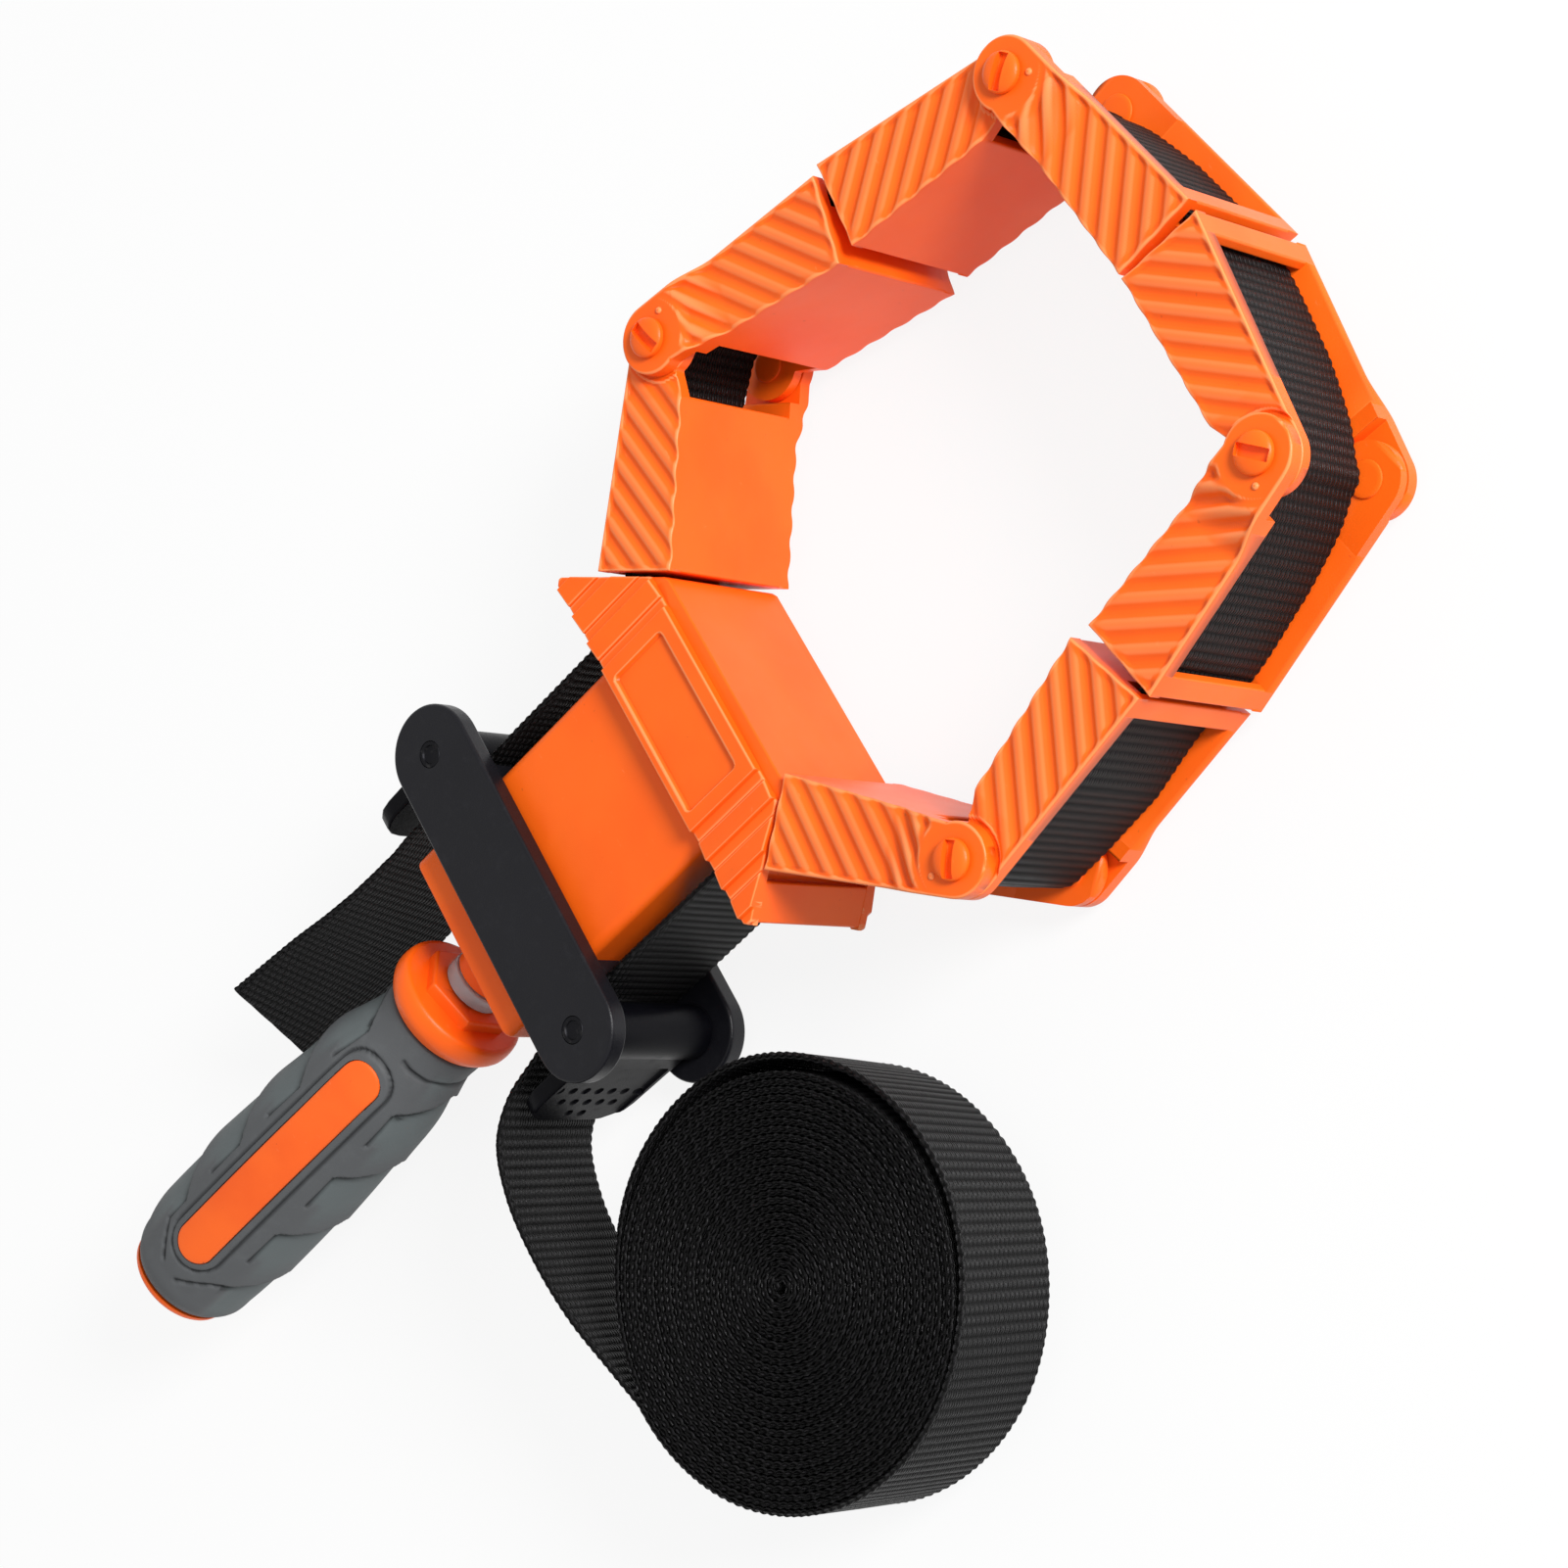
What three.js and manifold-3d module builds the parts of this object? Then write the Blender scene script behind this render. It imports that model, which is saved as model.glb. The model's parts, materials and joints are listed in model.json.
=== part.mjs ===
// Band clamp: webbing draws eight hinged jaw links and a pressure head round a workpiece, and a screw
// handle tensions the webbing. Millimetres, +Z up, lying on its rear side. The origin is the centre of the
// head's pressing face, +Y points into the ring of jaws and the handle lies along -Y.
import * as THREE from 'three';
import { mergeVertices } from 'three/addons/utils/BufferGeometryUtils.js';
import Module from 'manifold-3d';

const wasm = await Module();
wasm.setup();

// Driving dimensions of the webbing and the clearances round it
const webWidth = 25;
const webThick = 1.2;
const webSide = 1.1; // from the webbing's edge to the wall beside it
const runGap = 0.3; // between neighbouring pieces
const overrun = 2; // how far a cutter runs past what it cuts
const sink = 0.4; // how far joined bodies of one piece run into each other

// Driving dimensions of a jaw link
const linkReach = 39.7; // hinge pin to free end
const linkWall = 2;
const pinToFace = 5.5; // pin centre above the pressing face
const freeHeight = 16.5; // side plate at the free end
const earRadius = 6.25;
const earThick = 2.85; // the outer ear, which lies over its mate's inner ear
const earNeck = 12; // pin centre to the end of the outer ear's neck
const plateStart = 8; // pin centre to the cut edge under the outer ear
const floorStart = 9.5; // pin centre to the pressing floor
const floorThick = 2.2;
const barLength = 4; // crossbar at the free end
const barThick = 1.9;
const ribPitch = 4;
const ribHeight = 0.8;
const ribStart = 8.8; // pin centre to the first rib beside the inner ear
const ribAngle = THREE.MathUtils.degToRad(45);

// Driving dimensions of a hinge pin
const pinRadius = 2.6;
const pinHeadRadius = 3.5;
const pinHeadThick = 1.7;
const pinRim = 0.55; // snap rim at the inner end
const pinRimThick = 0.6;
const pinSlotLength = 5.2;
const pinSlotWidth = 1.6;
const pinSlotDepth = 1.1;

// Driving dimensions of the ring: how the links stand at rest
const headGap = 0.9; // head's slanted end to the first link
const headRise = 1.7; // first link's inner corner past the head's face corner
const secondLinkTurn = THREE.MathUtils.degToRad(74.4); // direction of link A2
const topLinkTurn = THREE.MathUtils.degToRad(2.6); // direction of link B2
const jawGap = 1.3; // between the free ends of links A2 and B1
const jawStep = 1.4; // outward step from A2 to B1
const middleGap = 0.45; // from link B2 to the mirror plane

// Driving dimensions of the pressure head
const faceHalf = 22.3; // half length of the pressing face
const slant = THREE.MathUtils.degToRad(50.5);
const slantLength = 24.5;
const headDepth = 20; // pressing face to the head's outer edge
const faceEdge = 0.6; // bevel at the ends of the pressing face
const faceThick = 4;
const shoulderDrop = 2.5; // pressing face stands over the side plates by this
const shoulderStep = 0.8;
const frameHalf = 17.5; // raised frame round the panel
const frameWidth = 2.8;
const bandWidth = 6;
const bandRise = 0.5;
const guideRadius = 3; // bar that the webbing turns over
const socketWall = 2;

// Driving dimensions of the stem housing
const housingHalf = 19.5;
const housingWall = 2.2;
const housingEnd = 77; // pressing face to the housing's far end
const housingEndThick = 4;
const housingCorner = 2;
const noseRadius = 5.8; // round stub under the end wall that the handle bears on
const noseLength = 7.8;

// Driving dimensions of the carriage, its cam levers and the travel
const camY = -59.6;
const camGap = 0.4; // from the lever's hub to the webbing
const plateRadius = 9.15;
const plateThick = 4;
const plateBevel = 0.5;
const travelIn = 20; // towards the head
const travelOut = 6; // towards the handle
const anvilThick = 3.5;
const anvilLength = 13;
const camPinRadius = 2.2;
const camPinBore = 1.3;
const leverHub = 5;
const leverReach = 23.4;
const leverThick = 2.7;
const leverPadHalf = 12.3;
const leverLip = 1.2;
const nutHalfLength = 6;
const nutSide = 7;
const armHalf = 4;
const armSeat = 1.5; // how far the nut's arms enter the anvils

// Driving dimensions of the spindle and the handle
const spindleRadius = 4;
const spindleTip = 31; // pressing face to the spindle's tip
const spindleDeep = 77; // spindle inside the handle
const clipRadius = 6.6;
const clipThick = 1;
const washerRadius = 6.1;
const washerThick = 3;
const bossFlats = 16.6;
const bossLength = 2.4;
const bossTurn = -5; // degrees from +Z to a corner of the boss, as the handle was left
const collarRadius = 13.3;
const collarLength = 6.5;
const collarBevel = 1.6;
const collarFoot = 11.2; // radius where the grip begins
const coreRadius = 8.8;
const gripLength = 84.2;
const gripRadius = 14.6;
const gripBore = coreRadius + runGap;
const capLength = 2.2;
const inlayWidth = 8.4;
const inlayProud = 0.5;
const handleTurn = 20; // degrees from +Z to the middle of the front inlay, as the handle was left

// Driving dimensions of the loose webbing
const rollOut = 64.7; // from the right run of webbing to the roll's centre
const rollUp = 9.4; // from the cams to the roll's centre
const rollRadius = 37.8;
const rollPitch = 1.66; // from turn to turn
const rollTurns = 21;
const rollSteps = 24; // steps in each turn
const tailCut = 11.5; // slanted cut of the free end

const channelHalf = webWidth / 2 + webSide;
const plateOut = channelHalf + linkWall; // outer face of a side plate
const earIn = plateOut + runGap;
const earOut = earIn + earThick;
const housingDepth = channelHalf - runGap;
const carriageIn = channelHalf + runGap;
const carriageOut = carriageIn + plateThick;
const webRunX = housingHalf + runGap + anvilThick + runGap + webThick / 2;
const camX = webRunX + webThick / 2 + camGap + leverHub;
const mirrorX = new THREE.Vector2(-1, 1);

const finish = (color, roughness, metalness = 0) => new THREE.MeshStandardMaterial({ color, roughness, metalness });
const orange = finish(0xf26a21, 0.42);
const black = finish(0x26262a, 0.4);
const steel = finish(0xb8babd, 0.3, 0.9);
const clear = finish(0xd9dcde, 0.15);
const rubber = finish(0x55585a, 0.7);
const web = finish(0x1a1817, 0.85);

// Solids: every piece becomes one closed body before it is drawn
function toSolid(geometry) {
  const bare = new THREE.BufferGeometry();
  bare.setAttribute('position', geometry.attributes.position);
  if (geometry.index) bare.setIndex(geometry.index);
  const merged = mergeVertices(bare);
  const corners = merged.index.array;
  const kept = [];
  for (let i = 0; i < corners.length; i += 3) {
    const [a, b, c] = [corners[i], corners[i + 1], corners[i + 2]];
    if (a !== b && b !== c && a !== c) kept.push(a, b, c);
  }
  return new wasm.Manifold(new wasm.Mesh({
    numProp: 3,
    vertProperties: new Float32Array(merged.attributes.position.array),
    triVerts: new Uint32Array(kept),
  }));
}

function toGeometry(solid) {
  const mesh = solid.getMesh();
  const geometry = new THREE.BufferGeometry();
  geometry.setAttribute('position', new THREE.BufferAttribute(new Float32Array(mesh.vertProperties), 3));
  geometry.setIndex(new THREE.BufferAttribute(new Uint32Array(mesh.triVerts), 1));
  geometry.computeVertexNormals();
  return geometry;
}

const part = new THREE.Group();

function addPiece(name, geometry, material, group = part) {
  const mesh = new THREE.Mesh(geometry, material);
  mesh.name = name;
  group.add(mesh);
  return mesh;
}

const union = (...solids) => solids.reduce((whole, next) => whole.add(next));
const cut = (solid, ...cutters) => cutters.reduce((rest, next) => rest.subtract(next), solid);

function prism(outline, low, high) {
  const shape = outline instanceof THREE.Shape ? outline : new THREE.Shape(outline);
  const geometry = new THREE.ExtrudeGeometry(shape, { depth: high - low, bevelEnabled: false, curveSegments: 8 });
  return toSolid(geometry.translate(0, 0, low));
}

function block(x0, x1, y0, y1, z0, z1) {
  const geometry = new THREE.BoxGeometry(x1 - x0, y1 - y0, z1 - z0);
  return toSolid(geometry.translate((x0 + x1) / 2, (y0 + y1) / 2, (z0 + z1) / 2));
}

function rod(radius, low, high, x = 0, y = 0, sides = 20) {
  const geometry = new THREE.CylinderGeometry(radius, radius, high - low, sides);
  geometry.rotateX(Math.PI / 2);
  return toSolid(geometry.translate(x, y, (low + high) / 2));
}

// A profile of [radius, y] pairs turned about the Y axis, listed from the highest y to the lowest
function turned(profile, sides = 32) {
  const points = [...profile].reverse().map(([radius, y]) => new THREE.Vector2(radius, y));
  return toSolid(new THREE.LatheGeometry(points, sides));
}

const barY = (radius, low, high, sides = 24) => turned([[0, high], [radius, high], [radius, low], [0, low]], sides);

// Directions and places in the XY plane
const towards = (angle) => new THREE.Vector2(Math.cos(angle), Math.sin(angle));
const leftOf = (vector) => new THREE.Vector2(-vector.y, vector.x);
const along = (start, direction, distance) => start.clone().addScaledVector(direction, distance);
const mirrored = (point) => point.clone().multiply(mirrorX);

// Jaw link in its own frame: the pin at the origin, +X to the free end, +Y outwards and the outer ear at +Z
const freeTop = freeHeight - pinToFace;
const topSlope = Math.atan2(freeTop, linkReach) + Math.acos(earRadius / Math.hypot(freeTop, linkReach));
const earTangent = towards(topSlope).multiplyScalar(earRadius);
const edgeAt = (x) => freeTop - (linkReach - x) * (freeTop - earTangent.y) / (linkReach - earTangent.x);
const earFoot = Math.asin(pinToFace / earRadius);
const webHeight = edgeAt(linkReach - barLength) - barThick - runGap - webThick / 2; // webbing above the pin

function sideOutline(start) {
  const outline = new THREE.Shape();
  outline.moveTo(start, -pinToFace);
  outline.lineTo(linkReach, -pinToFace);
  outline.lineTo(linkReach, freeTop);
  outline.lineTo(start, edgeAt(start));
  return outline;
}

function earOutline(end) {
  const outline = new THREE.Shape();
  outline.moveTo(end, -pinToFace);
  outline.lineTo(end, edgeAt(end));
  outline.lineTo(earTangent.x, earTangent.y);
  outline.absarc(0, 0, earRadius, topSlope, 2 * Math.PI - earFoot, false);
  return outline;
}

function ribbedFace(start, base) {
  const crests = Math.ceil(2 * linkReach / ribPitch);
  const waveSteps = 4;
  const outline = [new THREE.Vector2(-linkReach, -sink), new THREE.Vector2(-linkReach + crests * ribPitch, -sink)];
  for (let i = crests * waveSteps; i >= 0; i--) {
    const lift = (1 - Math.cos(2 * Math.PI * i / waveSteps)) / 2;
    outline.push(new THREE.Vector2(-linkReach + i * ribPitch / waveSteps, ribHeight * lift));
  }
  const slab = new THREE.ExtrudeGeometry(new THREE.Shape(outline), { depth: 4 * linkReach, bevelEnabled: false });
  slab.translate(0, 0, -2 * linkReach).rotateX(Math.PI / 2).rotateZ(ribAngle).translate(linkReach / 2, 0, base);
  return toSolid(slab).intersect(prism(sideOutline(start), base - sink, base + ribHeight + overrun));
}

function linkSolid() {
  const neck = earOutline(earNeck);
  const joggle = sideOutline(plateStart);
  const underNeck = block(plateStart, earNeck, -pinToFace, freeTop, plateOut - sink, earIn + sink);
  const bar = new THREE.Shape([
    new THREE.Vector2(linkReach - barLength, edgeAt(linkReach - barLength) - barThick),
    new THREE.Vector2(linkReach, freeTop - barThick),
    new THREE.Vector2(linkReach, freeTop),
    new THREE.Vector2(linkReach - barLength, edgeAt(linkReach - barLength)),
  ]);
  const innerSide = union(
    prism(earOutline(linkReach), channelHalf, plateOut),
    ribbedFace(ribStart, plateOut),
  ).rotate([180, 0, 0]).mirror([0, 1, 0]);
  const outerSide = union(
    prism(joggle, channelHalf, plateOut),
    prism(neck, earIn, earOut),
    underNeck.intersect(prism(joggle, 0, earOut)),
    ribbedFace(earNeck - sink, plateOut),
  );
  const floor = block(floorStart, linkReach, -pinToFace, floorThick - pinToFace, -channelHalf - sink, channelHalf + sink);
  const body = union(innerSide, outerSide, floor, prism(bar, -channelHalf - sink, channelHalf + sink));
  return cut(body, rod(pinRadius + runGap, -earOut, earOut + overrun));
}

function hingePinSolid() {
  const seat = earOut + runGap;
  const inner = channelHalf - runGap - pinRimThick;
  const body = union(
    rod(pinHeadRadius, seat, seat + pinHeadThick, 0, 0, 18),
    rod(pinRadius, inner, seat + sink, 0, 0, 12),
    rod(pinRadius + pinRim, inner, inner + pinRimThick, 0, 0, 12),
  );
  const slotHalf = pinSlotLength / 2;
  const slotSide = pinSlotWidth / 2;
  const top = seat + pinHeadThick;
  return cut(body, block(-slotHalf, slotHalf, -slotSide, slotSide, top - pinSlotDepth, top + overrun));
}

// The ring at rest, worked out from the head round to the mirror plane
const slantRight = new THREE.Vector2(Math.cos(slant), -Math.sin(slant)); // down the head's right end
const slantLeft = mirrored(slantRight);
const headCorner = new THREE.Vector2(-faceHalf, 0);
const angleA1 = slant - Math.PI / 2;
const headSide = towards(angleA1).negate(); // out of the head's left end
const innerA1 = along(along(headCorner, slantLeft, -headRise), headSide, headGap);
const pinA = along(along(innerA1, headSide, linkReach), slantLeft, pinToFace);
const angleA2 = secondLinkTurn;
const outerA2 = along(along(pinA, towards(angleA2), linkReach), leftOf(towards(angleA2)), freeTop);
const outerB1 = along(along(outerA2, towards(angleA2), jawGap), leftOf(towards(angleA2)), jawStep);
const angleB2 = topLinkTurn;
const pinBx = -middleGap - linkReach * Math.cos(angleB2) - pinToFace * Math.sin(angleB2);
const freeSpan = Math.hypot(linkReach, freeTop);
const riseB1 = Math.atan2(freeTop, linkReach) + Math.acos((pinBx - outerB1.x) / freeSpan);
const pinB = along(along(outerB1, towards(riseB1), linkReach), leftOf(towards(riseB1)), -freeTop);
const angleB1 = riseB1 - Math.PI;

const links = {
  a1: { pin: pinA, angle: angleA1, first: true },
  a2: { pin: pinA, angle: angleA2, first: false },
  b1: { pin: pinB, angle: angleB1, first: true },
  b2: { pin: pinB, angle: angleB2, first: false },
  c1: { pin: mirrored(pinB), angle: Math.PI - angleB2, first: true },
  c2: { pin: mirrored(pinB), angle: Math.PI - angleB1, first: false },
  d1: { pin: mirrored(pinA), angle: Math.PI - angleA2, first: true },
  d2: { pin: mirrored(pinA), angle: Math.PI - angleA1, first: false },
};

// A place on a link, given along it from the pin and outwards from the pin
function onLink(link, reach, outwards) {
  const direction = towards(link.angle);
  const side = leftOf(direction).multiplyScalar(link.first ? -1 : 1);
  return along(along(link.pin, direction, reach), side, outwards);
}

function addLinks() {
  const geometry = toGeometry(linkSolid());
  for (const [name, link] of Object.entries(links)) {
    const mesh = addPiece(`link_${name}`, geometry, orange);
    mesh.position.set(link.pin.x, link.pin.y, 0);
    mesh.rotation.set(link.first ? Math.PI : 0, 0, link.angle, 'ZXY');
  }
}

// Slots of the pins stand as they were left: one angle for each hinge
const slotTurns = { a: 0.19, b: 2.2, c: 0.68, d: 2.44 };

function addHingePins() {
  const geometry = toGeometry(hingePinSolid());
  for (const [name, turn] of Object.entries(slotTurns)) {
    const pin = links[`${name}1`].pin;
    for (const side of ['front', 'rear']) {
      const mesh = addPiece(`hinge_pin_${name}_${side}`, geometry, orange);
      mesh.position.set(pin.x, pin.y, 0);
      mesh.rotation.set(side === 'front' ? 0 : Math.PI, 0, turn, 'ZXY');
    }
  }
}

// Pressure head: pressing wall, two side plates, a socket for the housing and a guide bar in each wing
function headOutline(high, bevel = 0) {
  const corner = new THREE.Vector2(faceHalf + high / Math.tan(slant), -high);
  const ends = bevel ? [along(corner, slantRight, bevel), along(corner, new THREE.Vector2(-1, 0), bevel)] : [corner];
  const tip = along(new THREE.Vector2(faceHalf, 0), slantRight, slantLength);
  const foot = new THREE.Vector2(tip.x - (headDepth + tip.y), -headDepth);
  return [...ends.map(mirrored).reverse(), mirrored(tip), mirrored(foot), foot, tip, ...ends];
}

// The webbing enters each wing on the first link's line and turns down beside the housing
const webEntry = onLink(links.a1, linkReach + headGap, webHeight);
const webDrop = (-webRunX - webEntry.x) / Math.cos(angleA1);
const webCorner = along(webEntry, towards(angleA1), webDrop);
const guideOff = guideRadius + runGap + webThick / 2;
const guide = new THREE.Vector2(
  webCorner.x - guideOff,
  webCorner.y + guideOff / Math.tan(slant) - guideOff / Math.sin(slant),
);

function headBands(side) {
  const base = plateOut;
  const tipX = faceHalf + slantLength * Math.cos(slant);
  const outline = [new THREE.Vector2(frameHalf, -sink)];
  for (let x = frameHalf; x < tipX; x += bandWidth) {
    outline.push(new THREE.Vector2(x, bandRise), new THREE.Vector2(x + bandWidth, 0));
  }
  outline.push(new THREE.Vector2(outline[outline.length - 1].x, -sink));
  const band = new THREE.ExtrudeGeometry(new THREE.Shape(outline), { depth: headDepth, bevelEnabled: false });
  band.rotateX(Math.PI / 2).translate(0, 0, base);
  const right = toSolid(band);
  const frame = block(-frameHalf, frameHalf, -headDepth, 0, base - sink, base + bandRise);
  const bands = union(right, right.mirror([1, 0, 0]), frame);
  const fitted = bands.intersect(prism(headOutline(shoulderDrop), base - sink, base + overrun));
  const panelHalf = frameHalf - frameWidth;
  const panel = block(
    -panelHalf, panelHalf, frameWidth / 2 - headDepth, -shoulderDrop - frameWidth, base, base + bandRise + overrun,
  );
  const face = cut(fitted, panel);
  return side > 0 ? face : face.mirror([0, 0, 1]);
}

function headSolid() {
  const wallStep = plateOut - shoulderStep;
  const wall = prism(headOutline(0, faceEdge), -wallStep, wallStep);
  const plates = prism(headOutline(shoulderDrop), -plateOut, plateOut);
  const depth = headDepth + overrun;
  const wingIn = housingHalf + runGap + socketWall;
  const wingOut = faceHalf + slantLength;
  const wing = block(wingIn, wingOut, -depth, -faceThick, -channelHalf, channelHalf);
  const socket = block(
    -housingHalf - runGap, housingHalf + runGap, -depth, -faceThick, -channelHalf, channelHalf,
  );
  const hollow = cut(union(wall, plates), wing, wing.mirror([1, 0, 0]), socket);
  const guideBar = rod(guideRadius, -channelHalf - sink, channelHalf + sink, guide.x, guide.y, 20);
  return union(hollow, guideBar, guideBar.mirror([1, 0, 0]), headBands(1), headBands(-1));
}

// Stem housing: a box closed at its far end, slotted at the sides for the nut's arms
function roundedBox(halfX, halfZ, corner, low, high) {
  const shape = new THREE.Shape();
  const quarter = Math.PI / 2;
  const centres = [[1, 1], [-1, 1], [-1, -1], [1, -1]];
  centres.forEach(([x, z], i) => {
    shape.absarc(x * (halfX - corner), z * (halfZ - corner), corner, i * quarter, (i + 1) * quarter, false);
  });
  const geometry = new THREE.ExtrudeGeometry(shape, { depth: high - low, bevelEnabled: false, curveSegments: 4 });
  return toSolid(geometry.translate(0, 0, low).rotateX(Math.PI / 2));
}

function housingSolid() {
  const top = faceThick + runGap;
  const innerX = housingHalf - housingWall;
  const innerZ = housingDepth - housingWall;
  const shell = roundedBox(housingHalf, housingDepth, housingCorner, top, housingEnd);
  const cavity = block(-innerX, innerX, housingEndThick - housingEnd, overrun, -innerZ, innerZ);
  const slotLow = camY - travelOut - armHalf - runGap;
  const slotHigh = camY + travelIn + armHalf + runGap;
  const slotSide = armHalf + runGap;
  const slots = block(-housingHalf - overrun, housingHalf + overrun, slotLow, slotHigh, -slotSide, slotSide);
  const nose = barY(noseRadius, -housingEnd - noseLength, sink - housingEnd);
  const shaftHole = barY(spindleRadius + runGap, -housingEnd - noseLength - overrun, 0);
  return cut(union(shell, nose), cavity, slots, shaftHole);
}

// Carriage: two side plates, the anvils that the webbing is pinched against, the cam pins and the nut
function sidePlateSolid() {
  const outline = new THREE.Shape();
  const radius = plateRadius - plateBevel;
  const quarter = Math.PI / 2;
  outline.absarc(camX, camY, radius, -quarter, quarter, false);
  outline.absarc(-camX, camY, radius, quarter, 3 * quarter, false);
  const geometry = new THREE.ExtrudeGeometry(outline, {
    depth: plateThick - 2 * plateBevel,
    bevelThickness: plateBevel,
    bevelSize: plateBevel,
    bevelSegments: 1,
    curveSegments: 10,
  });
  const body = toSolid(geometry.translate(0, 0, carriageIn + plateBevel));
  const holes = [-camX, camX].map((x) => rod(camPinRadius + runGap, 0, carriageOut + overrun, x, camY));
  return cut(body, ...holes);
}

function anvilSolid() {
  const inner = housingHalf + runGap;
  const half = anvilLength / 2;
  const body = block(inner, inner + anvilThick, camY - half, camY + half, -channelHalf, channelHalf);
  const pocket = armHalf + runGap;
  const pocketEnd = inner + armSeat + runGap;
  return cut(body, block(inner - overrun, pocketEnd, camY - pocket, camY + pocket, -pocket, pocket));
}

function nutSolid() {
  const insideZ = housingDepth - housingWall - runGap;
  const armEnd = housingHalf + runGap + armSeat;
  const body = union(
    block(-nutSide, nutSide, camY - nutHalfLength, camY + nutHalfLength, -insideZ, insideZ),
    block(-armEnd, armEnd, camY - armHalf, camY + armHalf, -armHalf, armHalf),
  );
  return cut(body, barY(spindleRadius + runGap, camY - nutHalfLength - overrun, camY + nutHalfLength + overrun));
}

function camPinSolid() {
  return cut(
    rod(camPinRadius, -carriageOut, carriageOut, camX, camY),
    rod(camPinBore, -carriageOut - overrun, carriageOut + overrun, camX, camY, 16),
  );
}

function leverSolid() {
  const padIn = 0;
  const padOut = leverThick;
  const tip = camY - leverReach;
  const pad = prism([
    new THREE.Vector2(camX + padIn, camY - leverHub / 2),
    new THREE.Vector2(camX + padIn, tip),
    new THREE.Vector2(camX + padOut, tip),
    new THREE.Vector2(camX + padOut + leverThick / 2, camY - leverHub / 2),
  ], -leverPadHalf, leverPadHalf);
  const lip = prism([
    new THREE.Vector2(camX + padOut - sink, camY - leverHub),
    new THREE.Vector2(camX + padOut - sink, tip),
    new THREE.Vector2(camX + padOut + leverLip, tip),
    new THREE.Vector2(camX + padOut + leverLip + leverThick / 2, camY - leverHub),
  ], leverPadHalf - leverLip, leverPadHalf);
  const hub = rod(leverHub, -channelHalf, channelHalf, camX, camY, 28);
  const bore = rod(camPinRadius + runGap, -channelHalf - overrun, channelHalf + overrun, camX, camY);
  return cut(union(hub, pad, lip), bore);
}

function addBothSides(name, solid, material) {
  addPiece(`${name}_right`, toGeometry(solid), material);
  addPiece(`${name}_left`, toGeometry(solid.mirror([1, 0, 0])), material);
}

function addCarriage() {
  const plate = sidePlateSolid();
  addPiece('side_plate_front', toGeometry(plate), black);
  addPiece('side_plate_rear', toGeometry(plate.mirror([0, 0, 1])), black);
  addBothSides('anvil', anvilSolid(), black);
  addBothSides('cam_pin', camPinSolid(), steel);
  addBothSides('cam_lever', leverSolid(), black);
  addPiece('cross_nut', toGeometry(nutSolid()), steel);
}

// Spindle and handle, all turned about the Y axis
const washerTop = -housingEnd - noseLength - runGap;
const bossTop = washerTop - washerThick - runGap;
const collarTop = bossTop - bossLength;
const gripTop = collarTop - collarLength - runGap;
const gripEnd = gripTop - gripLength;
const capTop = gripEnd - runGap;

// Radius of the grip as shares of its greatest radius, against shares of its length
const gripProfileShares = [
  [0, 0.76], [0.052, 0.77], [0.124, 0.84], [0.197, 0.93], [0.331, 0.97], [0.476, 1], [0.621, 1],
  [0.746, 0.98], [0.839, 0.95], [0.911, 0.91], [0.965, 0.86], [1, 0.725],
];
const gripProfile = gripProfileShares.map(([reach, radius]) => [gripRadius * radius, gripTop - gripLength * reach]);
const inlayTopShare = 0.1243;
const inlayEndShare = 0.8389;

function stadium(width, top, end) {
  const half = width / 2;
  const shape = new THREE.Shape();
  shape.absarc(0, top - half, half, 0, Math.PI, false);
  shape.absarc(0, end + half, half, Math.PI, 2 * Math.PI, false);
  return shape;
}

function inlaySolid() {
  const proud = gripProfile.map(([radius, y]) => [radius + inlayProud, y]);
  const skin = turned([[0, gripTop], ...proud, [0, gripEnd]]);
  const top = gripTop - gripLength * inlayTopShare;
  const end = gripTop - gripLength * inlayEndShare;
  return skin.intersect(prism(stadium(inlayWidth, top, end), gripBore, gripRadius + overrun)).rotate([0, handleTurn, 0]);
}

function gripSolid() {
  const body = turned([[0, gripTop], ...gripProfile, [0, gripEnd]]);
  const top = gripTop - gripLength * inlayTopShare + runGap;
  const end = gripTop - gripLength * inlayEndShare - runGap;
  const window = prism(stadium(inlayWidth + 2 * runGap, top, end), -gripRadius - overrun, gripRadius + overrun);
  return cut(body, barY(gripBore, gripEnd - overrun, gripTop + overrun), window.rotate([0, handleTurn, 0]));
}

function coreSolid() {
  const rim = collarRadius - collarBevel;
  const collarEnd = collarTop - collarLength;
  const collar = turned([
    [0, collarTop], [rim, collarTop], [collarRadius, collarTop - collarBevel],
    [collarRadius, collarTop - collarLength / 2], [collarFoot, collarEnd], [0, collarEnd],
  ]);
  const boss = turned([
    [0, bossTop], [bossFlats / Math.sqrt(3), bossTop], [bossFlats / Math.sqrt(3), collarTop - sink], [0, collarTop - sink],
  ], 6).rotate([0, bossTurn, 0]);
  const core = barY(coreRadius, gripEnd, collarEnd + sink);
  const spindleHole = barY(spindleRadius + runGap, bossTop - spindleDeep - runGap, bossTop + overrun);
  return cut(union(collar, boss, core), spindleHole);
}

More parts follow.
